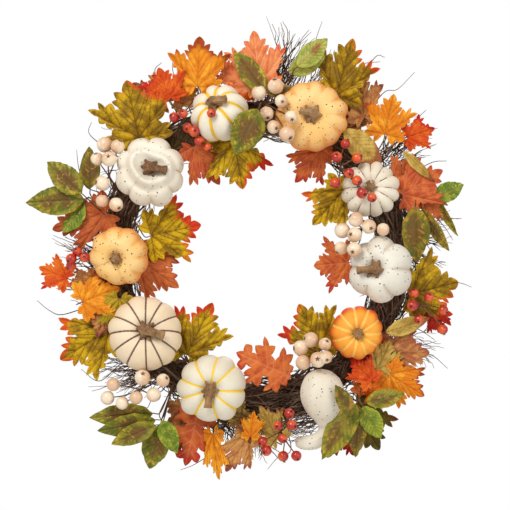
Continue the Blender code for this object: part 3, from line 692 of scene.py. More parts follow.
# name: slot, foot (x, z) on the ring, depth of the joint where the leaves' stalks meet, leaves
LEAF_PICKS = {
    "olive_upper_left": ("leaf_olive", (-134, 158), 34, [
        ("maple", "olive", -154, 160, 103, 78, 118, 40, 4, -4, 0.10, -45)]),
    "orange_top_left": ("leaf_yellow", (-92, 196), 34, [
        ("maple", "flame", -114, 212, 108, 42, 68, 44, 10, 8, 0.12, 55),
        ("maple", "amber", -76, 228, 88, 66, 86, 38, 6, -6, 0.06)]),
    "coral_top": ("leaf_coral", (8, 206), 36, [
        ("maple", "salmon", 6, 228, 96, 74, 84, 44, -2, 6, 0.06),
        ("oval", "variegated", 14, 216, 126, 70, 30, 58, 4, 10, 0.10)]),
    "green_inner_top": ("leaf_green", (2, 174), 66, [
        ("oval", "variegated", 4, 192, -116, 66, 44, 96, 3, -8, 0.14)]),
    "olive_inner_top": ("leaf_olive", (-22, 166), 36, [
        ("maple", "olive_red", -28, 156, -80, 66, 90, 42, 6, 4, 0.08, 50)]),
    "coral_inner_top": ("leaf_coral", (-92, 156), 33, [
        ("maple", "coral", -80, 148, -57, 60, 66, 36, 2)]),
    "green_upper_right": ("leaf_green", (34, 206), 31, [
        ("oval", "pale", 44, 246, 22, 54, 28, 46, 4, 16, 0.12),
        ("oval", "pale", 56, 252, 44, 54, 30, 52, 10, -8, 0.16)]),
    "mixed_top_right": ("leaf_olive", (118, 172), 30, [
        ("maple", "olive", 108, 216, 74, 78, 90, 38, 8, -4, 0.06, -50),
        ("maple", "mauve", 146, 188, 98, 64, 64, 28, -4, 6)]),
    "mixed_upper_right": ("leaf_yellow", (160, 135), 34, [
        ("maple", "amber", 172, 164, 78, 54, 70, 46, 8, 0, 0.06),
        ("maple", "flame", 202, 160, 18, 38, 48, 42, 10, 6, 0.10),
        ("maple", "coral", 196, 84, 32, 62, 78, 40, 6, -6, 0.05)]),
    "green_right": ("leaf_green", (192, 64), 34, [
        ("oval", "brown_green", 212, 68, -89, 74, 38, 46, 2, 6, 0.10),
        ("oval", "brown_green", 222, 66, -60, 68, 18, 36, 0, 30, 0.16),
        ("oval", "fresh", 238, 80, 24, 42, 27, 42, 12, 0, 0.10)]),
    "mixed_inner_upper": ("leaf_olive", (110, 134), 31, [
        ("maple", "coral", 88, 145, -128, 56, 62, 33, 4),
        ("maple", "olive", 118, 90, -132, 62, 76, 36, 4, 0, 0.08, -60)]),
    "coral_inner_lower": ("leaf_coral", (160, 16), 33, [
        ("maple", "coral", 124, -6, -174, 46, 76, 36, 0, 0, 0.06)]),
    "olive_right": ("leaf_olive", (194, -24), 33, [
        ("maple", "olive_red", 206, -48, 14, 66, 106, 38, 4, 4, 0.10, -60)]),
    "mixed_lower_right": ("leaf_mauve", (168, -124), 34, [
        ("maple", "mauve", 170, -128, 2, 62, 80, 38, 4, 0, 0.10),
        ("maple", "amber", 178, -154, -32, 54, 64, 44, 8, 6, 0.10, 40),
        ("oval", "khaki", 172, -98, 17, 62, 26, 52, 8, 20, 0.12)]),
    "green_lower_right": ("leaf_green", (142, -160), 38, [
        ("oval", "mottled", 132, -190, -122, 86, 38, 70, 4, 8, 0.12),
        ("oval", "fresh", 142, -195, -61, 48, 30, 58, 10, 0, 0.12),
        ("oval", "mottled", 146, -190, 14, 52, 26, 56, 8, -10, 0.14)]),
    "olive_inner_lower": ("leaf_olive", (102, -138), 33, [
        ("maple", "olive_red", 88, -122, 116, 68, 86, 36, 4, 0, 0.08, 60)]),
    "coral_inner_bottom": ("leaf_coral", (40, -172), 34, [
        ("lobed", "coral", 48, -158, 156, 80, 66, 42, 0, 0, 0.06)]),
    "mixed_inner_left": ("leaf_olive", (-164, 54), 32, [
        ("maple", "olive_red", -138, 30, 12, 68, 92, 34, 4, 0, 0.08, 10),
        ("maple", "rust", -158, -2, -34, 68, 78, 32, -2, 0, 0.08, 50)]),
    "orange_left": ("leaf_yellow", (-198, -44), 34, [
        ("maple", "amber", -228, -58, 22, 52, 72, 46, 4, -6),
        ("maple", "flame", -250, -27, 158, 40, 50, 36, 4)]),
    "olive_lower_left": ("leaf_olive", (-176, -92), 33, [
        ("maple", "olive", -194, -96, -149, 76, 96, 36, 4, 0, 0.08, -32)]),
    "olive_inner_bottom": ("leaf_olive", (-104, -140), 33, [
        ("maple", "olive_red", -90, -128, 64, 76, 88, 35, 4, 0, 0.08, 45)]),
    "mixed_left": ("leaf_coral", (-194, 52), 34, [
        ("maple", "rust", -198, 60, -163, 76, 76, 36),
        ("oval", "variegated", -228, 85, 137, 62, 36, 52, 6, 10, 0.14),
        ("oval", "mottled", -226, 78, -176, 78, 40, 46, 2, -8, 0.12),
        ("oval", "fresh", -226, 74, -126, 50, 30, 40, 0, 24, 0.10),
        ("oval", "brown_green", -219, 92, 92, 56, 30, 40, 4, -16, 0.10)]),
    "green_lower_left": ("leaf_green", (-108, -166), 32, [
        ("oval", "variegated", -135, -206, 184, 86, 32, 40, 0, 6, 0.10),
        ("oval", "mottled", -131, -214, -168, 79, 32, 47, 4, -8, 0.12),
        ("oval", "variegated", -130, -220, -158, 64, 28, 53, 8, 8, 0.14),
        ("oval", "mottled", -125, -220, -104, 62, 38, 43, 0, 0, 0.10),
        ("oval", "fresh", -123, -214, -66, 48, 28, 51, 8, 10, 0.12)]),
    "mixed_bottom": ("leaf_coral", (-36, -206), 30, [
        ("lobed", "coral", -72, -192, -104, 88, 66, 32, 0, 0, 0.06),
        ("maple", "amber", -55, -234, -86, 62, 40, 40, 0, 24, 0.10),
        ("maple", "mauve", -8, -234, -122, 58, 52, 42, 4),
        ("maple", "amber", -6, -236, 82, 34, 34, 46, 6),
        ("maple", "khaki", 30, -240, 118, 50, 50, 38, 2)]),
}

# Small leaves tucked in between, in groups: slot, leaves
TUCKED_LEAVES = {
    "upper": ("leaf_mauve", [
        ("maple", "mauve", -120, 208, 150, 52, 56, 26, 0, 0, 0.06),
        ("maple", "mauve", -108, 210, 27, 36, 46, 26, 0, 0, 0.06),
        ("maple", "dark", -110, 144, 33, 42, 46, 30, 4),
        ("maple", "salmon", -20, 232, 128, 42, 50, 30),
        ("maple", "orange", -28, 214, 40, 44, 50, 28),
        ("oval", "brown_green", 62, 216, 178, 48, 22, 62, 4, 20, 0.10),
        ("maple", "mauve", 122, 172, 62, 54, 62, 26, 0, 0, 0.06),
        ("oval", "khaki", 116, 168, -42, 70, 36, 58, 6, -14, 0.10)]),
    "right": ("leaf_coral", [
        ("maple", "wine", 234, -72, -59, 34, 36, 36),
        ("oval", "variegated", 243, 80, -66, 58, 12, 34, 0, 40, 0.10),
        ("oval", "khaki", 196, 142, -48, 58, 15, 50, 4, 30),
        ("maple", "rust", 224, 80, -44, 42, 44, 34),
        ("maple", "rust", 190, 96, 60, 48, 56, 32, 2)]),
    "lower_right": ("leaf_coral", [
        ("maple", "khaki", 162, -148, 66, 48, 48, 42, 4),
        ("maple", "flame", 154, -162, 133, 40, 46, 48, 4),
        ("maple", "coral", 150, -176, 80, 50, 58, 38),
        ("maple", "wine", 128, -216, -122, 60, 56, 30, 0, 0, 0.10),
        ("maple", "moss", 134, -196, -62, 68, 82, 34, 0, 0, 0.10),
        ("oval", "brown_green", 134, -192, -90, 70, 30, 60, 2, -14, 0.12),
        ("oval", "brown_green", 126, -204, 118, 46, 22, 92, 4, 6, 0.12),
        ("maple", "orange", 148, -182, 34, 40, 46, 40, 4)]),
    "lower_left": ("leaf_mauve", [
        ("maple", "mauve", -192, -62, -112, 46, 54, 44, 4),
        ("maple", "olive_plain", -179, -54, -98, 52, 50, 50, 2),
        ("maple", "mauve", -214, -28, -168, 34, 40, 38, 2),
        ("maple", "mauve", -96, -200, -96, 60, 56, 24, 0, 0, 0.06),
        ("maple", "khaki", -20, -214, 120, 40, 44, 34, 0, 0, 0.06)]),
}


def build_leaf_stalks(name, leaves, foot, joint_depth):
    """Wired stalks from a joint above the foot to the leaves, and a little way along the leaves' backs."""
    rng = random.Random(name)
    skin = Skin()
    joint = place(*foot, joint_depth)
    add_tube(skin, [place(*foot, joint_depth - 22), joint], STALK_TAPER, 6, rng.random())
    for leaf in leaves:
        along, across, out = leaf_axes(leaf)
        base = place(leaf.x, leaf.z, leaf.depth)
        neck = base - along * 9 * MM - out * 1.5 * MM
        end = base + along * leaf.length * 0.12 * MM - out * 0.6 * MM
        middle = (joint + neck) / 2 - FRONT * 3 * MM
        path = smooth_path([joint, middle, neck, base - out * 0.8 * MM, end], LEAF_WIRE_POINTS)
        add_tube(skin, path, LEAF_WIRE_TAPER, 6, rng.random())
    hand_over(skin.build(f"stalks_{name}", [STALK_BARK]))


def build_leaves(name, rows, foot=None, joint_depth=0.0):
    """One object of leaves. With a foot, they replace the CAD's pick of that name and get stalks."""
    leaves = [Leaf(*row) for row in rows]
    finishes = sorted({leaf.finish for leaf in leaves})
    skin = Skin()
    for i, leaf in enumerate(leaves):
        add_leaf(skin, finishes.index(leaf.finish), leaf, f"{name} {i}")
    blades = skin.build(f"blades_{name}" if foot else name, [LEAF_FINISHES[finish] for finish in finishes])
    cloth = blades.modifiers.new("thickness", "SOLIDIFY")
    cloth.thickness = CLOTH_THICKNESS * MM
    cloth.offset = 0.0
    hand_over(blades, name if foot else None)
    if foot:
        build_leaf_stalks(name, leaves, foot, joint_depth)


for pick, (pick_slot, pick_foot, pick_joint, pick_rows) in LEAF_PICKS.items():
    build_leaves(f"leaves_{pick}", pick_rows, pick_foot, pick_joint)
for group, (group_slot, group_rows) in TUCKED_LEAVES.items():
    build_leaves(f"tucked_leaves_{group}", group_rows)


# ---------------------------------------------------------------- pumpkins

# Dimples at the poles: depth as part of the half height, and reach as part of the radius
POLE_DEPTH = 0.34
POLE_REACH = 0.30
# Power of the cosine for the outline from the side: 1 is an ellipse, less is squarer
SQUARENESS = 0.74
PUMPKIN_AROUND = 168
PUMPKIN_DOWN = 60
# How much a lobe's size and its edge vary, and how much of that shift is left where lobes are many
LOBE_SIZE_RANGE = (-0.035, 0.035)
LOBE_SHIFT_RANGE = (-0.10, 0.10)
MANY_LOBES = 10
MANY_LOBES_SHIFT = 0.6

# A pumpkin: its size, number of lobes, groove depth as part of the radius, sharpness of its valleys, how much
# of the top is plain, tilt towards +x and +z, slot, paint, and whether a raised collar runs round its stalk
Pumpkin = namedtuple(
    "Pumpkin", "radius half_height lobes groove sharpness plain_top tilt_x tilt_z slot paint collar",
    defaults=(False,),
)
# In each paint, groove is painted shade for the valleys between the lobes, on the yellow and orange fruit
# partly their own deeper colour.
PUMPKINS = {
    "white_scalloped": Pumpkin(47, 30, 8, 0.15, 0.6, 0.55, 3, 8, "pumpkin_white", dict(
        skin=(236, 229, 215), shade=(229, 219, 202), groove=(218, 203, 182), specks=0.45), collar=True),
    "white_striped": Pumpkin(39, 30, 8, 0.20, 0.55, 0.0, -20, 26, "pumpkin_white", dict(
        skin=(236, 230, 214), shade=(230, 220, 199), groove=(227, 212, 172),
        line=(247, 200, 40), line_mm=4.2)),
    "yellow_speckled": Pumpkin(48, 31, 11, 0.07, 1.3, 0.40, 0, 2, "pumpkin_yellow", dict(
        skin=(247, 206, 140), shade=(244, 190, 112), groove=(238, 170, 92), specks=1.0,
        blush=(240, 158, 82))),
    "white_small": Pumpkin(38, 25, 12, 0.13, 0.6, 0.0, -4, 6, "pumpkin_white", dict(
        skin=(235, 227, 211), shade=(226, 215, 196), groove=(212, 194, 170), specks=0.2,
        line=(70, 48, 38), line_mm=1.1, line_soft=0.25, line_breaks=True)),
    "white_bulbous": Pumpkin(44, 33, 6, 0.14, 0.8, 0.30, -20, 2, "pumpkin_white", dict(
        skin=(230, 226, 217), shade=(223, 217, 204), groove=(208, 196, 180), specks=0.75)),
    "orange_small": Pumpkin(35, 27, 11, 0.08, 0.7, 0.0, 0, -2, "pumpkin_orange", dict(
        skin=(250, 170, 60), shade=(246, 144, 42), groove=(238, 124, 34),
        line=(255, 206, 104), line_mm=3.0, line_soft=1.3, blush=(222, 78, 16))),
    "yellow_striped": Pumpkin(46, 31, 9, 0.11, 0.7, 0.0, -5, 0, "pumpkin_white", dict(
        skin=(228, 222, 206), shade=(222, 213, 194), groove=(223, 209, 176),
        line=(242, 202, 52), line_mm=3.0)),
    "cream_striped": Pumpkin(49, 31, 12, 0.06, 0.6, 0.0, 4, 12, "pumpkin_cream", dict(
        skin=(236, 216, 188), shade=(229, 206, 174), groove=(214, 184, 150),
        line=(96, 68, 58), line_mm=2.3)),
    "orange_speckled": Pumpkin(39, 28, 9, 0.06, 1.3, 0.40, -6, -8, "pumpkin_yellow", dict(
        skin=(247, 206, 140), shade=(244, 193, 116), groove=(240, 176, 96), specks=0.95,
        blush=(240, 160, 82))),
}

# Stalk of each pumpkin: radius of its star foot, straight rise, how far it leans along x and z, tip's radius
STEMS = {
    "white_scalloped": (16.0, 8, 22, -5, 5.0),
    "white_striped": (14.5, 9, 22, -6, 4.6),
    "yellow_speckled": (17.0, 9, -16, 3, 4.4),
    "white_small": (9.0, 8, -4, 6, 3.0),
    "white_bulbous": (15.0, 9, -22, -2, 4.6),
    "orange_small": (8.0, 9, 1, 7, 4.0),
    "yellow_striped": (14.0, 9, -1, -22, 4.8),
    "cream_striped": (16.5, 10, 24, -9, 5.6),
    "orange_speckled": (8.5, 8, -2, -3, 4.4),
}


def facing(tilt_x, tilt_z):
    """Turns an upright form so that its top faces forwards, tilted to the side and up."""
    side = Matrix.Rotation(math.radians(tilt_x), 3, "Z")
    lift = Matrix.Rotation(math.radians(90 - tilt_z), 3, "X")
    return np.array(side @ lift)


def lobes_round(lobes, rng):
    """For each direction round a pumpkin: how far across its lobe, the lobe's width and its extra size."""
    sizes = np.array([rng.uniform(*LOBE_SIZE_RANGE) for i in range(lobes)])
    shifts = np.array([rng.uniform(*LOBE_SHIFT_RANGE) for i in range(lobes)])
    edges = np.arange(lobes) + shifts * (MANY_LOBES_SHIFT if lobes >= MANY_LOBES else 1.0)
    result = []
    for k in range(PUMPKIN_AROUND):
        spot = lobes * k / PUMPKIN_AROUND
        after = edges[edges > spot]
        right = after.min() if len(after) else edges.min() + lobes
        before = edges[edges <= spot]
        left = before.max() if len(before) else edges.max() - lobes
        which = int(np.argmin(np.abs((edges - left) % lobes)))
        result.append(((spot - left) / (right - left), right - left, sizes[which]))
    return result


def collar_height(reach, around):
    """An uneven raised ring and the gully outside it; heights and reaches are parts of the pumpkin's."""
    oval = 0.46 + 0.07 * math.cos(2 * around + 0.8) + 0.04 * math.sin(3 * around + 1.0)
    strength = 0.45 + 0.55 * max(math.cos(around - 3.7), 0.0)
    ridge = math.exp(-(((reach - oval) / 0.12) ** 2))
    gully = math.exp(-(((reach - oval - 0.19) / 0.09) ** 2))
    return strength * (0.34 * ridge - 0.14 * gully)


def build_pumpkin(name):
    """A ribbed fruit whose lobes differ a little, with a dimple at each pole."""
    form = PUMPKINS[name]
    rng = random.Random(name)
    lobes_at = lobes_round(form.lobes, rng)
    phase = rng.uniform(0, 6.28)
    chance = rng.random()
    points = []
    values = []
    for i in range(PUMPKIN_DOWN + 1):
        angle = math.pi * (i / PUMPKIN_DOWN - 0.5)
        sine = math.sin(angle)
        cosine = max(math.cos(angle), 0.0)
        profile = cosine ** SQUARENESS
        for k, (part, width, extra) in enumerate(lobes_at):
            around = FULL_TURN * k / PUMPKIN_AROUND
            rib = max(math.sin(math.pi * part), 0.0)
            crest = rib ** form.sharpness
            if form.plain_top and angle > 0:
                plain = 1 - clamp((profile - form.plain_top) / 0.4)
                crest += (1 - crest) * plain
                rib += (1 - rib) * plain
            reach = form.radius * profile * (1 - form.groove * (1 - crest)) * (1 + extra * rib)
            reach *= 1 + 0.018 * math.sin(2 * around + phase) * cosine
            height = sine * (1 + 0.6 * extra * rib)
            dimple = POLE_DEPTH * math.exp(-((reach / (POLE_REACH * form.radius)) ** 2))
            height -= math.copysign(dimple, height)
            if form.collar and angle > 0:
                height += collar_height(reach / form.radius, around)
            if angle > 0:
                height -= 0.55 * form.groove * (1 - crest) * math.sqrt(cosine)
            points.append((reach * math.cos(around), reach * math.sin(around), height * form.half_height))
            groove_mm = min(part, 1 - part) * width * FULL_TURN / form.lobes * reach
            values.append((crest, groove_mm, max(sine, 0.0), chance))
    centre = box_centre(f"pumpkin_{name}")
    turn = facing(form.tilt_x, form.tilt_z)
    skin = Skin()
    placed = centre + (np.array(points) * MM) @ turn.T
    skin.add(placed, grid_faces(PUMPKIN_DOWN + 1, PUMPKIN_AROUND), values)
    material = pumpkin_material(f"pumpkin_{name}", **form.paint)
    hand_over(skin.build(f"fruit_{name}", [material]), f"pumpkin_{name}")


# A stalk's foot is this part of the half height over the pumpkin's middle, less the millimetres of its root.
STEM_SEAT = 0.83
STEM_ROOT = 5.0
# The star of ridges: how deep it is cut at the foot, how much of that the handle loses, and a ridge's width
STAR_DEPTH = 0.78
STAR_LOSS = 0.62
RIDGE_WIDTH = 0.22
STEM_RIDGES = 6
STEM_GRAIN = 0.035
STEM_AROUND = 48
STEM_ROWS = 34


def build_stem(name):
    """A dried stalk: a ridged star foot that narrows into a leaning, furrowed handle with a cut end."""
    form = PUMPKINS[name]
    foot, rise, lean_x, lean_z, tip = STEMS[name]
    rng = random.Random(f"stem {name}")
    turn = facing(form.tilt_x, form.tilt_z)
    up = turn[:, 2]
    base = box_centre(f"pumpkin_{name}") + up * (STEM_SEAT * form.half_height - STEM_ROOT) * MM
    lean = np.array((lean_x, 0, lean_z)) * MM
    lean = lean - up * lean.dot(up)
    # How high above the foot the path passes, how much of the lean it has there, and its radius there
    knots = [
        (0, 0, foot * 1.25), (5.5, 0, foot), (5 + rise * 0.7, 0, tip * 1.35), (5 + rise, 0.35, tip),
        (7 + rise, 0.72, tip), (7.5 + rise, 1, tip * 1.3),
    ]
    path = smooth_path([base + up * height * MM + lean * part for height, part, radius in knots], STEM_ROWS)
    sizes = np.interp(np.linspace(0, 5, STEM_ROWS), range(6), [radius for height, part, radius in knots])
    offsets = [rng.uniform(-0.2, 0.2) for i in range(STEM_RIDGES)]
    strengths = [rng.uniform(0.7, 1.2) for i in range(STEM_RIDGES)]
    radii = np.zeros((STEM_ROWS, STEM_AROUND))
    for i in range(STEM_ROWS):
        height = i / STEM_ROWS
        star = STAR_DEPTH - STAR_LOSS * clamp((height - 0.10) / 0.25)
        for k in range(STEM_AROUND):
            turned = FULL_TURN * k / STEM_AROUND + 0.5 * height
            ridge = 0.0
            for j in range(STEM_RIDGES):
                away = (turned - FULL_TURN * (j + offsets[j]) / STEM_RIDGES + math.pi) % FULL_TURN - math.pi
                ridge = max(ridge, strengths[j] * math.exp(-((away / RIDGE_WIDTH) ** 2)))
            grain = STEM_GRAIN * math.sin(17 * turned + 3 * height)
            radii[i, k] = sizes[i] * (1 - star + star * ridge + grain)
    cut = path[-1] + normalised(path[-1] - path[-2]) * 0.3 * MM
    points = np.vstack([rings(path, turn[:, 0], radii * MM), cut])
    last = (STEM_ROWS - 1) * STEM_AROUND
    faces = grid_faces(STEM_ROWS, STEM_AROUND)
    faces += [(last + k, last + (k + 1) % STEM_AROUND, len(points) - 1) for k in range(STEM_AROUND)]
    faces.append(tuple(reversed(range(STEM_AROUND))))
    skin = Skin()
    skin.add(points, faces, (*PLAIN, rng.random()))
    hand_over(skin.build(f"stalk_{name}", [STEM_BARK]), f"stem_{name}")


for fruit in PUMPKINS:
    build_pumpkin(fruit)
    build_stem(fruit)


# ---------------------------------------------------------------- gourd

# x, z, depth of the middle, radius
GOURD = [
    (87, -146, 57, 1), (87, -149, 57, 13), (87, -158, 57, 23), (88, -172, 57, 28.5), (90, -186, 57, 28.5),
    (92, -200, 56, 23.5), (94, -212, 54, 15.5), (95, -224, 52, 11), (90, -235, 50, 10.4),
    (80, -242, 49, 10.2), (68, -244, 49, 9.4), (59, -243, 49, 8.0), (54.5, -242.5, 49, 5.6),
    (53, -242.4, 49, 0.6),
]
GOURD_ROWS = 90
GOURD_AROUND = 72


def build_gourd():
    """A bottle gourd whose neck curls back, a little lumpy all over."""
    path = smooth_path([place(x, z, depth) for x, z, depth, radius in GOURD], GOURD_ROWS)
    sizes = smooth_path([(radius, 0, 0) for x, z, depth, radius in GOURD], GOURD_ROWS)[:, 0]
    angle = FULL_TURN * np.arange(GOURD_AROUND) / GOURD_AROUND
    row = np.arange(GOURD_ROWS)[:, None]
    lump = 1 + 0.025 * np.sin(3 * angle + 0.06 * row) + 0.012 * np.sin(7 * angle - 0.13 * row)
    radii = np.maximum(sizes, 0.3)[:, None] * lump * MM
    skin = Skin()
    # No groove, far from any line, and half way up for the paint
    skin.add(rings(path, FRONT, radii), bar_faces(GOURD_ROWS, GOURD_AROUND), (1.0, 9.0, 0.5, 0.5))
    # The groove colour is painted shade for grooves, which the gourd lacks, so it never shows.
    material = pumpkin_material(
        "gourd_skin", skin=(232, 225, 211), shade=(224, 215, 199), groove=(208, 195, 178), specks=0.85
    )
    hand_over(skin.build("fruit_gourd", [material]), "pumpkin_gourd")


build_gourd()


# ---------------------------------------------------------------- berries

# name: slot, foot (x, z) on the ring, joint (x, z, depth), berries (x, z, depth)
BERRY_SPRAYS = {
    "cream_left": ("berry_cream", (-181, 88), (-193, 108, 48), [
        (-198, 149, 56), (-180, 146, 64), (-207, 130, 62), (-190, 129, 74), (-200, 98, 66),
        (-201, 75, 58), (-182, 70, 64)]),
    "cream_top": ("berry_cream", (18, 196), (15, 202, 62), [
        (5, 216, 68), (27, 224, 74), (15, 188, 76), (34, 203, 90), (46, 181, 101), (24, 170, 84),
        (41, 160, 93)]),
    "cream_right": ("berry_cream", (146, 50), (140, 38, 68), [
        (114, 36, 70), (131, 50, 78), (148, 41, 80), (166, 37, 84), (129, 30, 84), (112, 13, 78),
        (128, 11, 92)]),
    "cream_inner_right": ("berry_cream", (90, -150), (84, -126, 58), [
        (73, -107, 64), (91, -112, 76), (60, -118, 60), (63, -137, 64), (82, -132, 78), (92, -128, 88)]),
    "cream_lower_left": ("berry_cream", (-133, -152), (-150, -172, 66), [
        (-146, -155, 82), (-119, -158, 88), (-132, -178, 76), (-186, -166, 62), (-155, -182, 72),
        (-194, -184, 56), (-174, -190, 64)]),
    "red_top_left": ("berry_red", (-84, 176), (-88, 180, 52), [
        (-106, 185, 58), (-94, 189, 64), (-62, 145, 62), (-88, 170, 66), (-79, 165, 76), (-73, 153, 68),
        (-56, 186, 100)]),
    "red_upper_right": ("berry_red", (120, 128), (111, 119, 78), [
        (118, 149, 72), (106, 131, 84), (133, 130, 76), (122, 110, 86), (105, 98, 72), (132, 100, 88),
        (138, 84, 91), (151, 78, 92)]),
    "red_right": ("berry_red", (196, -66), (216, -62, 58), [
        (208, -46, 66), (227, -51, 72), (205, -62, 76), (247, -68, 62), (214, -80, 68), (247, -94, 58)]),
    "red_bottom": ("berry_red", (36, -206), (34, -228, 56), [
        (45, -204, 64), (48, -218, 74), (30, -219, 70), (36, -236, 68), (10, -241, 60), (15, -252, 66),
        (37, -260, 62), (54, -258, 72)]),
    "red_left": ("berry_red", (-209, -2), (-228, 1, 52), [
        (-234, 8, 58), (-223, 1, 64), (-241, -1, 62), (-242, -10, 56)]),
}
# Slot: radius, how far the calyx reaches and its lobes stand up, and how much the crown faces forwards
BERRY_FORMS = {"berry_cream": (9.8, 0.38, 0.03, 0.1), "berry_red": (7.0, 0.34, 0.30, 0.5)}
# Dimple at the crown: depth and reach as parts of the radius
CROWN_DIP = 0.12
CROWN_REACH = 0.22
# The outline of one lobe of the calyx, from its point to the next, as parts of its reach
CALYX_LOBES = 5
CALYX_OUTLINE = (1.0, 0.5, 0.26, 0.5)
# The ways across a berry start from this direction, which no crown has.
BERRY_SKEW = (0.31, 0.52, 0.79)
# How much berries vary in size, and how far their crowns and the middles of their wires wander
BERRY_SIZE_RANGE = (0.84, 1.06)
CROWN_WANDER = (-0.5, 0.5)
WIRE_WANDER = (-3, 3)
BERRY_AROUND = 28
BERRY_DOWN = 18
BERRY_STALK_TAPER = (1.3, 1.3)
BERRY_WIRE_TAPER = (0.95, 0.75)
BERRY_WIRE_POINTS = 12


def crown_dip(reach):
    return CROWN_DIP * math.exp(-((reach / CROWN_REACH) ** 2))


def add_berry(skin, centre, radius, axes, chance):
    """A round fruit with a dimple at its crown. axes are two ways across and the way to its crown."""
    points = []
    values = []
    for i in range(BERRY_DOWN + 1):
        angle = math.pi * i / BERRY_DOWN
        height = math.cos(angle)
        height -= math.copysign(crown_dip(math.sin(angle)), height)
        for k in range(BERRY_AROUND):
            around = FULL_TURN * k / BERRY_AROUND
            reach = math.sin(angle) * (1 + 0.02 * math.sin(5 * around + 7 * chance))
            offset = np.array((math.cos(around) * reach, math.sin(around) * reach, height))
            points.append(centre + offset @ axes * radius)
            # The second value marks the side that gets a painted highlight, turned a random way for each
            # berry.
            highlight_side = 0.5 + 0.5 * math.cos(around + 6.28 * chance) * math.sin(angle)
            values.append((max(0.0, 1 - angle / 0.9), highlight_side, 0.5, chance))
    skin.add(points, grid_faces(BERRY_DOWN + 1, BERRY_AROUND, flip=True), values)


def add_calyx(skin, centre, radius, axes, chance, reach, lift):
    """A dry star where the flower was: pointed lobes round a small button, on the berry's crown."""
    count = CALYX_LOBES * len(CALYX_OUTLINE)
    rim = []
    inner = []
    for k in range(count):
        angle = FULL_TURN * k / count
        shape = CALYX_OUTLINE[k % len(CALYX_OUTLINE)]
        for ring, part, rise in ((rim, 1.0, 0.03 + lift * shape), (inner, 0.4, 0.05)):
            far = shape * reach * part
            height = math.sqrt(1 - far * far) - crown_dip(far) + rise
            ring.append((math.cos(angle) * far, math.sin(angle) * far, height))
    under = (0, 0, 0.9 - 3 * CROWN_DIP)
    cap = (0, 0, 1.03 - CROWN_DIP)
    points = centre + np.array(rim + inner + [under, cap]) @ axes * radius
    faces = []
    for k in range(count):
        after = (k + 1) % count
        faces.append((k, after, count + after, count + k))
        faces.append((count + k, count + after, 2 * count + 1))
        faces.append((after, k, 2 * count))
    skin.add(points, faces, (*PLAIN, chance), 1)


def build_berries(spray):
    """Berries on wires that meet at a joint, and the wire from there to the ring."""
    slot, foot, joint, berries = BERRY_SPRAYS[spray]
    radius, reach, lift, forwards = BERRY_FORMS[slot]
    name = f"berries_{spray}"
    rng = random.Random(name)
    joint_point = place(*joint)
    skin = Skin()
    stalk = [place(*foot, 20), (place(*foot, 34) + joint_point) / 2, joint_point]
    add_tube(skin, stalk, BERRY_STALK_TAPER, 8, 0.4, 2)
    for spot in berries:
        centre = place(*spot)
        chance = rng.random()
        wander = np.array([rng.uniform(*CROWN_WANDER) for i in range(3)])
        crown = normalised(normalised(centre - joint_point) * 0.8 + FRONT * forwards + wander)
        size = radius * MM * rng.uniform(*BERRY_SIZE_RANGE)
        side = normalised(np.cross(crown, BERRY_SKEW))
        axes = np.stack([side, np.cross(crown, side), crown])
        add_berry(skin, centre, size, axes, chance)
        add_calyx(skin, centre, size, axes, chance, reach, lift)
        sway = np.array((rng.uniform(*WIRE_WANDER), 0, rng.uniform(*WIRE_WANDER))) * MM
        bow = (joint_point + centre) / 2 - FRONT * 4 * MM + sway
        path = smooth_path([joint_point, bow, centre - crown * size * 0.3], BERRY_WIRE_POINTS)
        add_tube(skin, path, BERRY_WIRE_TAPER, 7, chance, 2)
    hand_over(skin.build(f"fruit_{name}", [BERRY_MATERIALS[slot], CALYX, STALK_BARK]), name)


for berry_spray in BERRY_SPRAYS:
    build_berries(berry_spray)


# ---------------------------------------------------------------- twigs

RING_MM = RING_RADIUS / MM
CORE_RADIUS = 18.0
CORE_ROWS = 60
CORE_AROUND = 28
# The core and the middles of the wound twigs lie no further back than this, so that the ring rests on a door.
BACK_LIMIT = -17.5
BUNDLES = 4
BUNDLE_SWEEP = 360 / BUNDLES
# Twigs wound along a bundle: how many, how far round the ring they go and how often round the bundle, how far
# from its middle they run, and the waves in them
WINDING_TWIGS = 105
WINDING_POINTS = 20
WINDING_SWEEP = (22, 55)
WINDING_TURNS = (-0.7, 0.7)
WINDING_REACH = (17, 28)
WINDING_THICKNESS = (0.6, 1.5)
WAVES = 3
WAVE_SPEED = (2, 6)
WAVE_SIZE = (0.5, 2.2)
# Short ends that stick out of a bundle: how many, how far from its middle they start and how long they are
SPROUTS = 110
SPROUT_ROOT = 21
SPROUT_REACH = (20, 48)
# Thin twigs: their bend and zigzag as parts of their length, and their side shoots
FREE_TWIG_POINTS = 9
BEND = (-0.35, 0.35)
ZIGZAG = 0.018
SHOOT_COUNTS = (0, 1, 1, 2)
SHOOT_TURN = (0.35, 0.9)
SHOOT_LENGTH = (0.2, 0.4)
TENDRIL_POINTS = 18
# Radii of the thin twigs, at their roots and at their tips
TWIG_THICK = 0.95
BRUSH_THICK = 0.9
TWIG_TIP = 0.35
SHOOT_TIP = 0.28

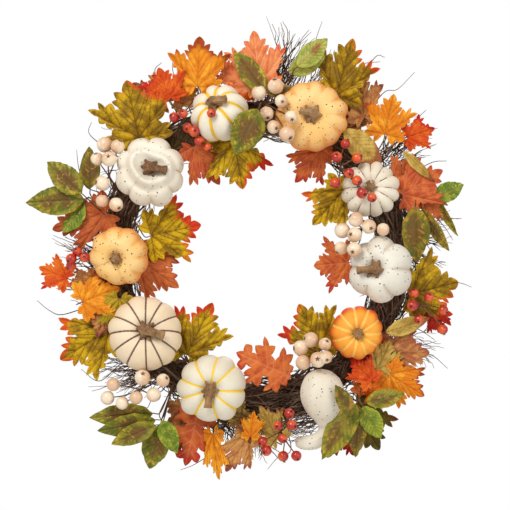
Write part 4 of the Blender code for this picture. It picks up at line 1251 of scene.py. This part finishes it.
# Brushes of fine twigs that stick out: x, z of the root, heading, spread, count, reach
BRUSHES = [
    (24, 212, 62, 34, 46, 112), (60, 206, 40, 30, 22, 84), (-122, -142, 188, 22, 50, 92),
    (-134, -158, 200, 34, 26, 56), (-30, -212, -78, 40, 40, 58), (-66, -206, -112, 26, 18, 60),
    (178, 128, 42, 40, 34, 74), (206, 30, 4, 44, 34, 58), (212, 2, -30, 30, 16, 50),
    (-190, 60, 168, 40, 24, 44), (-150, 146, 120, 40, 20, 60), (190, -110, -30, 40, 26, 70),
    (120, -190, -60, 36, 18, 66), (-60, 204, 120, 36, 16, 66), (-196, -60, 176, 40, 20, 60),
    (20, -200, 30, 70, 20, 34), (-60, -196, -22, 26, 46, 78), (64, -190, -158, 30, 46, 84),
    (-10, -186, -90, 80, 30, 30), (-4, -232, -64, 50, 22, 40), (-206, -4, 150, 24, 36, 62),
    (-98, -200, -16, 12, 50, 94), (6, -222, 6, 12, 44, 88), (100, -200, 198, 12, 44, 86),
]
# Single twigs that stand clear of the leaves: points from the tip inwards (x, z)
TENDRILS = [
    [(214, 249), (191, 226), (173, 222)], [(168, 263), (142, 257)], [(174, 269), (160, 268)],
    [(257, 130), (237, 128)], [(265, 24), (252, 44), (237, 56)], [(277, 53), (255, 52)],
    [(290, -39), (273, -33)], [(241, -110), (222, -97)], [(258, -148), (240, -132), (225, -126)],
    [(-100, -284), (-80, -276), (-57, -258)], [(17, -283), (30, -268), (48, -258)],
    [(-292, -57), (-276, -70), (-259, -76)], [(-233, -149), (-209, -165)],
    [(-239, 145), (-236, 120), (-227, 96)], [(-219, 182), (-223, 169), (-214, 158)],
    [(-125, 262), (-134, 249)], [(-108, 273), (-110, 250)], [(90, 317), (82, 294)], [(37, 317), (44, 299)],
]


def ring_point(angle, offset, depth):
    """A point beside the ring's centre line, by its angle round the ring and its offset outwards."""
    reach = RING_MM + offset
    return place(reach * math.cos(math.radians(angle)), reach * math.sin(math.radians(angle)), depth)


def add_core(skin, first, last):
    """The bundle's dense, dark middle: a lumpy bar that keeps flat behind."""
    points = []
    for i in range(CORE_ROWS):
        angle = first + (last - first) * i / (CORE_ROWS - 1)
        for k in range(CORE_AROUND):
            turn = FULL_TURN * k / CORE_AROUND
            reach = CORE_RADIUS * (
                1 + 0.10 * math.sin(3 * turn + angle * 0.35) + 0.07 * math.sin(5 * turn - angle * 0.8)
            )
            points.append(ring_point(angle, reach * math.cos(turn), max(reach * math.sin(turn), BACK_LIMIT)))
    skin.add(points, bar_faces(CORE_ROWS, CORE_AROUND), (*PLAIN, 0.3), 1)


def add_winding_twig(skin, rng, first, last):
    """A long thin twig that winds along the bundle."""
    sweep = rng.uniform(*WINDING_SWEEP) * rng.choice((-1, 1))
    start = rng.uniform(first, last)
    phase = rng.uniform(0, FULL_TURN)
    turns = rng.uniform(*WINDING_TURNS) * FULL_TURN
    reach = rng.uniform(*WINDING_REACH)
    waves = []
    for i in range(WAVES):
        waves.append((rng.uniform(*WAVE_SPEED), rng.uniform(0, 6.28), rng.uniform(*WAVE_SIZE)))
    path = []
    for i in range(WINDING_POINTS):
        t = i / (WINDING_POINTS - 1)
        turn = phase + turns * t
        out = reach + sum(size * math.sin(speed * math.pi * t + shift) for speed, shift, size in waves)
        depth = max(out * math.sin(turn), BACK_LIMIT + rng.uniform(0, 1.5))
        path.append(ring_point(start + sweep * t, out * math.cos(turn), depth))
    thick = rng.uniform(*WINDING_THICKNESS)
    add_tube(skin, path, (thick, thick * 0.55), 5, rng.random())


def add_free_twig(skin, rng, root, direction, reach, thick):
    """A thin, slightly zigzag twig that tapers to a point, with up to two side shoots."""
    side = normalised(np.cross(direction, [rng.uniform(-1, 1) for i in range(3)]))
    bend = rng.uniform(*BEND)
    path = []
    for i in range(FREE_TWIG_POINTS):
        t = i / (FREE_TWIG_POINTS - 1)
        zigzag = ZIGZAG * (-1) ** i * reach if i else 0.0
        path.append(root + (direction * reach * t + side * (bend * reach * t * t + zigzag)) * MM)
    add_tube(skin, path, (thick, TWIG_TIP), 4, rng.random())
    for i in range(rng.choice(SHOOT_COUNTS)):
        at = path[rng.randrange(3, FREE_TWIG_POINTS - 2)]
        way = normalised(direction + side * rng.choice((-1, 1)) * rng.uniform(*SHOOT_TURN))
        length = reach * rng.uniform(*SHOOT_LENGTH) * MM
        short = [at + way * length * f + side * 0.05 * length * f * f for f in (0, 0.35, 0.7, 1.0)]
        add_tube(skin, short, (thick * 0.6, SHOOT_TIP), 4, rng.random())


def build_bundle(number):
    """One stretch of the ring: its core, the twigs wound along it and the short ends that stick out."""
    rng = random.Random(f"twig_bundle_{number}")
    first = (number - 1) * BUNDLE_SWEEP
    last = first + BUNDLE_SWEEP
    skin = Skin()
    add_core(skin, first - 0.4, last + 0.4)
    for i in range(WINDING_TWIGS):
        add_winding_twig(skin, rng, first + 1.0, last - 1.0)
    for i in range(SPROUTS):
        angle = rng.uniform(first + 3, last - 3)
        turn = rng.uniform(-0.5, math.pi + 0.5)
        tangent = heading_vector(angle + 90) * rng.choice((-1, 1))
        outward = heading_vector(angle) * math.cos(turn) + FRONT * math.sin(turn)
        direction = normalised(tangent + outward * rng.uniform(0.15, 0.75))
        depth = max(SPROUT_ROOT * math.sin(turn), BACK_LIMIT + 2)
        root = ring_point(angle, SPROUT_ROOT * math.cos(turn), depth)
        add_free_twig(skin, rng, root, direction, rng.uniform(*SPROUT_REACH), TWIG_THICK)
    hand_over(skin.build(f"vines_{number}", [TWIG_BARK, CORE_BARK]), f"twig_bundle_{number}")


def build_loose_twigs():
    """The brushes and the single twigs, which spring from the ring."""
    rng = random.Random("loose twigs")
    skin = Skin()
    for x, z, heading, spread, count, reach in BRUSHES:
        for i in range(count):
            root = place(x + rng.uniform(-16, 16), z + rng.uniform(-16, 16), rng.uniform(2, 24))
            way = heading + rng.gauss(0, spread * 0.5)
            direction = normalised(heading_vector(way) + FRONT * rng.uniform(-0.12, 0.3))
            add_free_twig(skin, rng, root, direction, reach * rng.uniform(0.45, 1.0), BRUSH_THICK)
    for tendril in TENDRILS:
        inner = np.array(tendril[-1], float)
        ring = inner / np.linalg.norm(inner) * (RING_MM + 12)
        points = [place(x, z, 22) for x, z in tendril]
        points += [place(*(inner + ring) / 2, 18), place(*ring, 14)]
        add_tube(skin, smooth_path(points, TENDRIL_POINTS), (TWIG_TIP, TWIG_THICK), 5, rng.random())
    hand_over(skin.build("loose_twigs", [TWIG_BARK]))


for bundle in range(1, BUNDLES + 1):
    build_bundle(bundle)
build_loose_twigs()

for metal_part in ("wire_hoop", "hanger_saddle", "hanging_loop"):
    part_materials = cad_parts[metal_part].data.materials
    part_materials.clear()
    part_materials.append(WIRE)


# ---------------------------------------------------------------- studio

# Places and sizes in metres, lens and sensor in millimetres
FLOOR_DROP = 1.2
FLOOR_HALF = 2.5
CAMERA_PLACE = (0.0, -1.92, RING_CENTRE[2] + 0.004)
LENS = 100.0
SENSOR = 36.0
AMBIENT_LIGHT = 0.56
WARM_WHITE = (1.0, 0.975, 0.915)
# name: x, y and height over the ring's centre, size, power
LIGHTS = {
    "key": (-0.9, -1.9, 1.5, 1.2, 39),
    "fill": (1.6, -1.7, 0.3, 1.6, 12),
    "back": (0.5, 1.7, 1.2, 1.4, 14),
}


def build_light(name):
    """A round light that faces the ring's centre."""
    x, y, height, size, power = LIGHTS[name]
    data = bpy.data.lights.new(name, "AREA")
    data.shape = "DISK"
    data.size = size
    data.energy = power
    data.color = WARM_WHITE
    light = bpy.data.objects.new(name, data)
    light.location = (x, y, RING_CENTRE[2] + height)
    light.rotation_euler = (Vector(RING_CENTRE) - light.location).to_track_quat("-Z", "Y").to_euler()
    bpy.context.scene.collection.objects.link(light)


def build_floor():
    height = RING_CENTRE[2] - FLOOR_DROP
    corners = [(x * FLOOR_HALF, y * FLOOR_HALF, height) for x, y in ((-1, -1), (1, -1), (1, 1), (-1, 1))]
    skin = Skin()
    skin.add(corners, [(0, 1, 2, 3)], (*PLAIN, 0.5))
    n = Nodes("studio_floor", Roughness=0.8)
    paint = n.set(Base_Color=n.mix(n.ramp(n.noise(2.0, 2), 0.3, 0.7), (243, 242, 240), (247, 246, 245)))
    skin.build("studio_floor", [paint])


def build_world():
    """White behind the object, and a softer, warmer white as ambient light."""
    world = bpy.data.worlds.new("studio")
    world.use_nodes = True
    bpy.context.scene.world = world
    tree = world.node_tree
    ambient = tree.nodes["Background"]
    ambient.inputs["Color"].default_value = (*WARM_WHITE, 1.0)
    ambient.inputs["Strength"].default_value = AMBIENT_LIGHT
    backdrop = tree.nodes.new("ShaderNodeBackground")
    backdrop.inputs["Color"].default_value = (1.0, 1.0, 1.0, 1.0)
    rays = tree.nodes.new("ShaderNodeLightPath")
    choice = tree.nodes.new("ShaderNodeMixShader")
    tree.links.new(rays.outputs["Is Camera Ray"], choice.inputs[0])
    tree.links.new(ambient.outputs["Background"], choice.inputs[1])
    tree.links.new(backdrop.outputs["Background"], choice.inputs[2])
    tree.links.new(choice.outputs["Shader"], tree.nodes["World Output"].inputs["Surface"])


def build_camera():
    data = bpy.data.cameras.new("camera")
    data.lens = LENS
    data.sensor_width = SENSOR
    camera = bpy.data.objects.new("camera", data)
    camera.location = CAMERA_PLACE
    camera.rotation_euler = (math.pi / 2, 0.0, 0.0)
    bpy.context.scene.collection.objects.link(camera)
    bpy.context.scene.camera = camera


build_floor()
build_world()
build_camera()
for lamp in LIGHTS:
    build_light(lamp)
bpy.context.scene.view_settings.view_transform = "Standard"
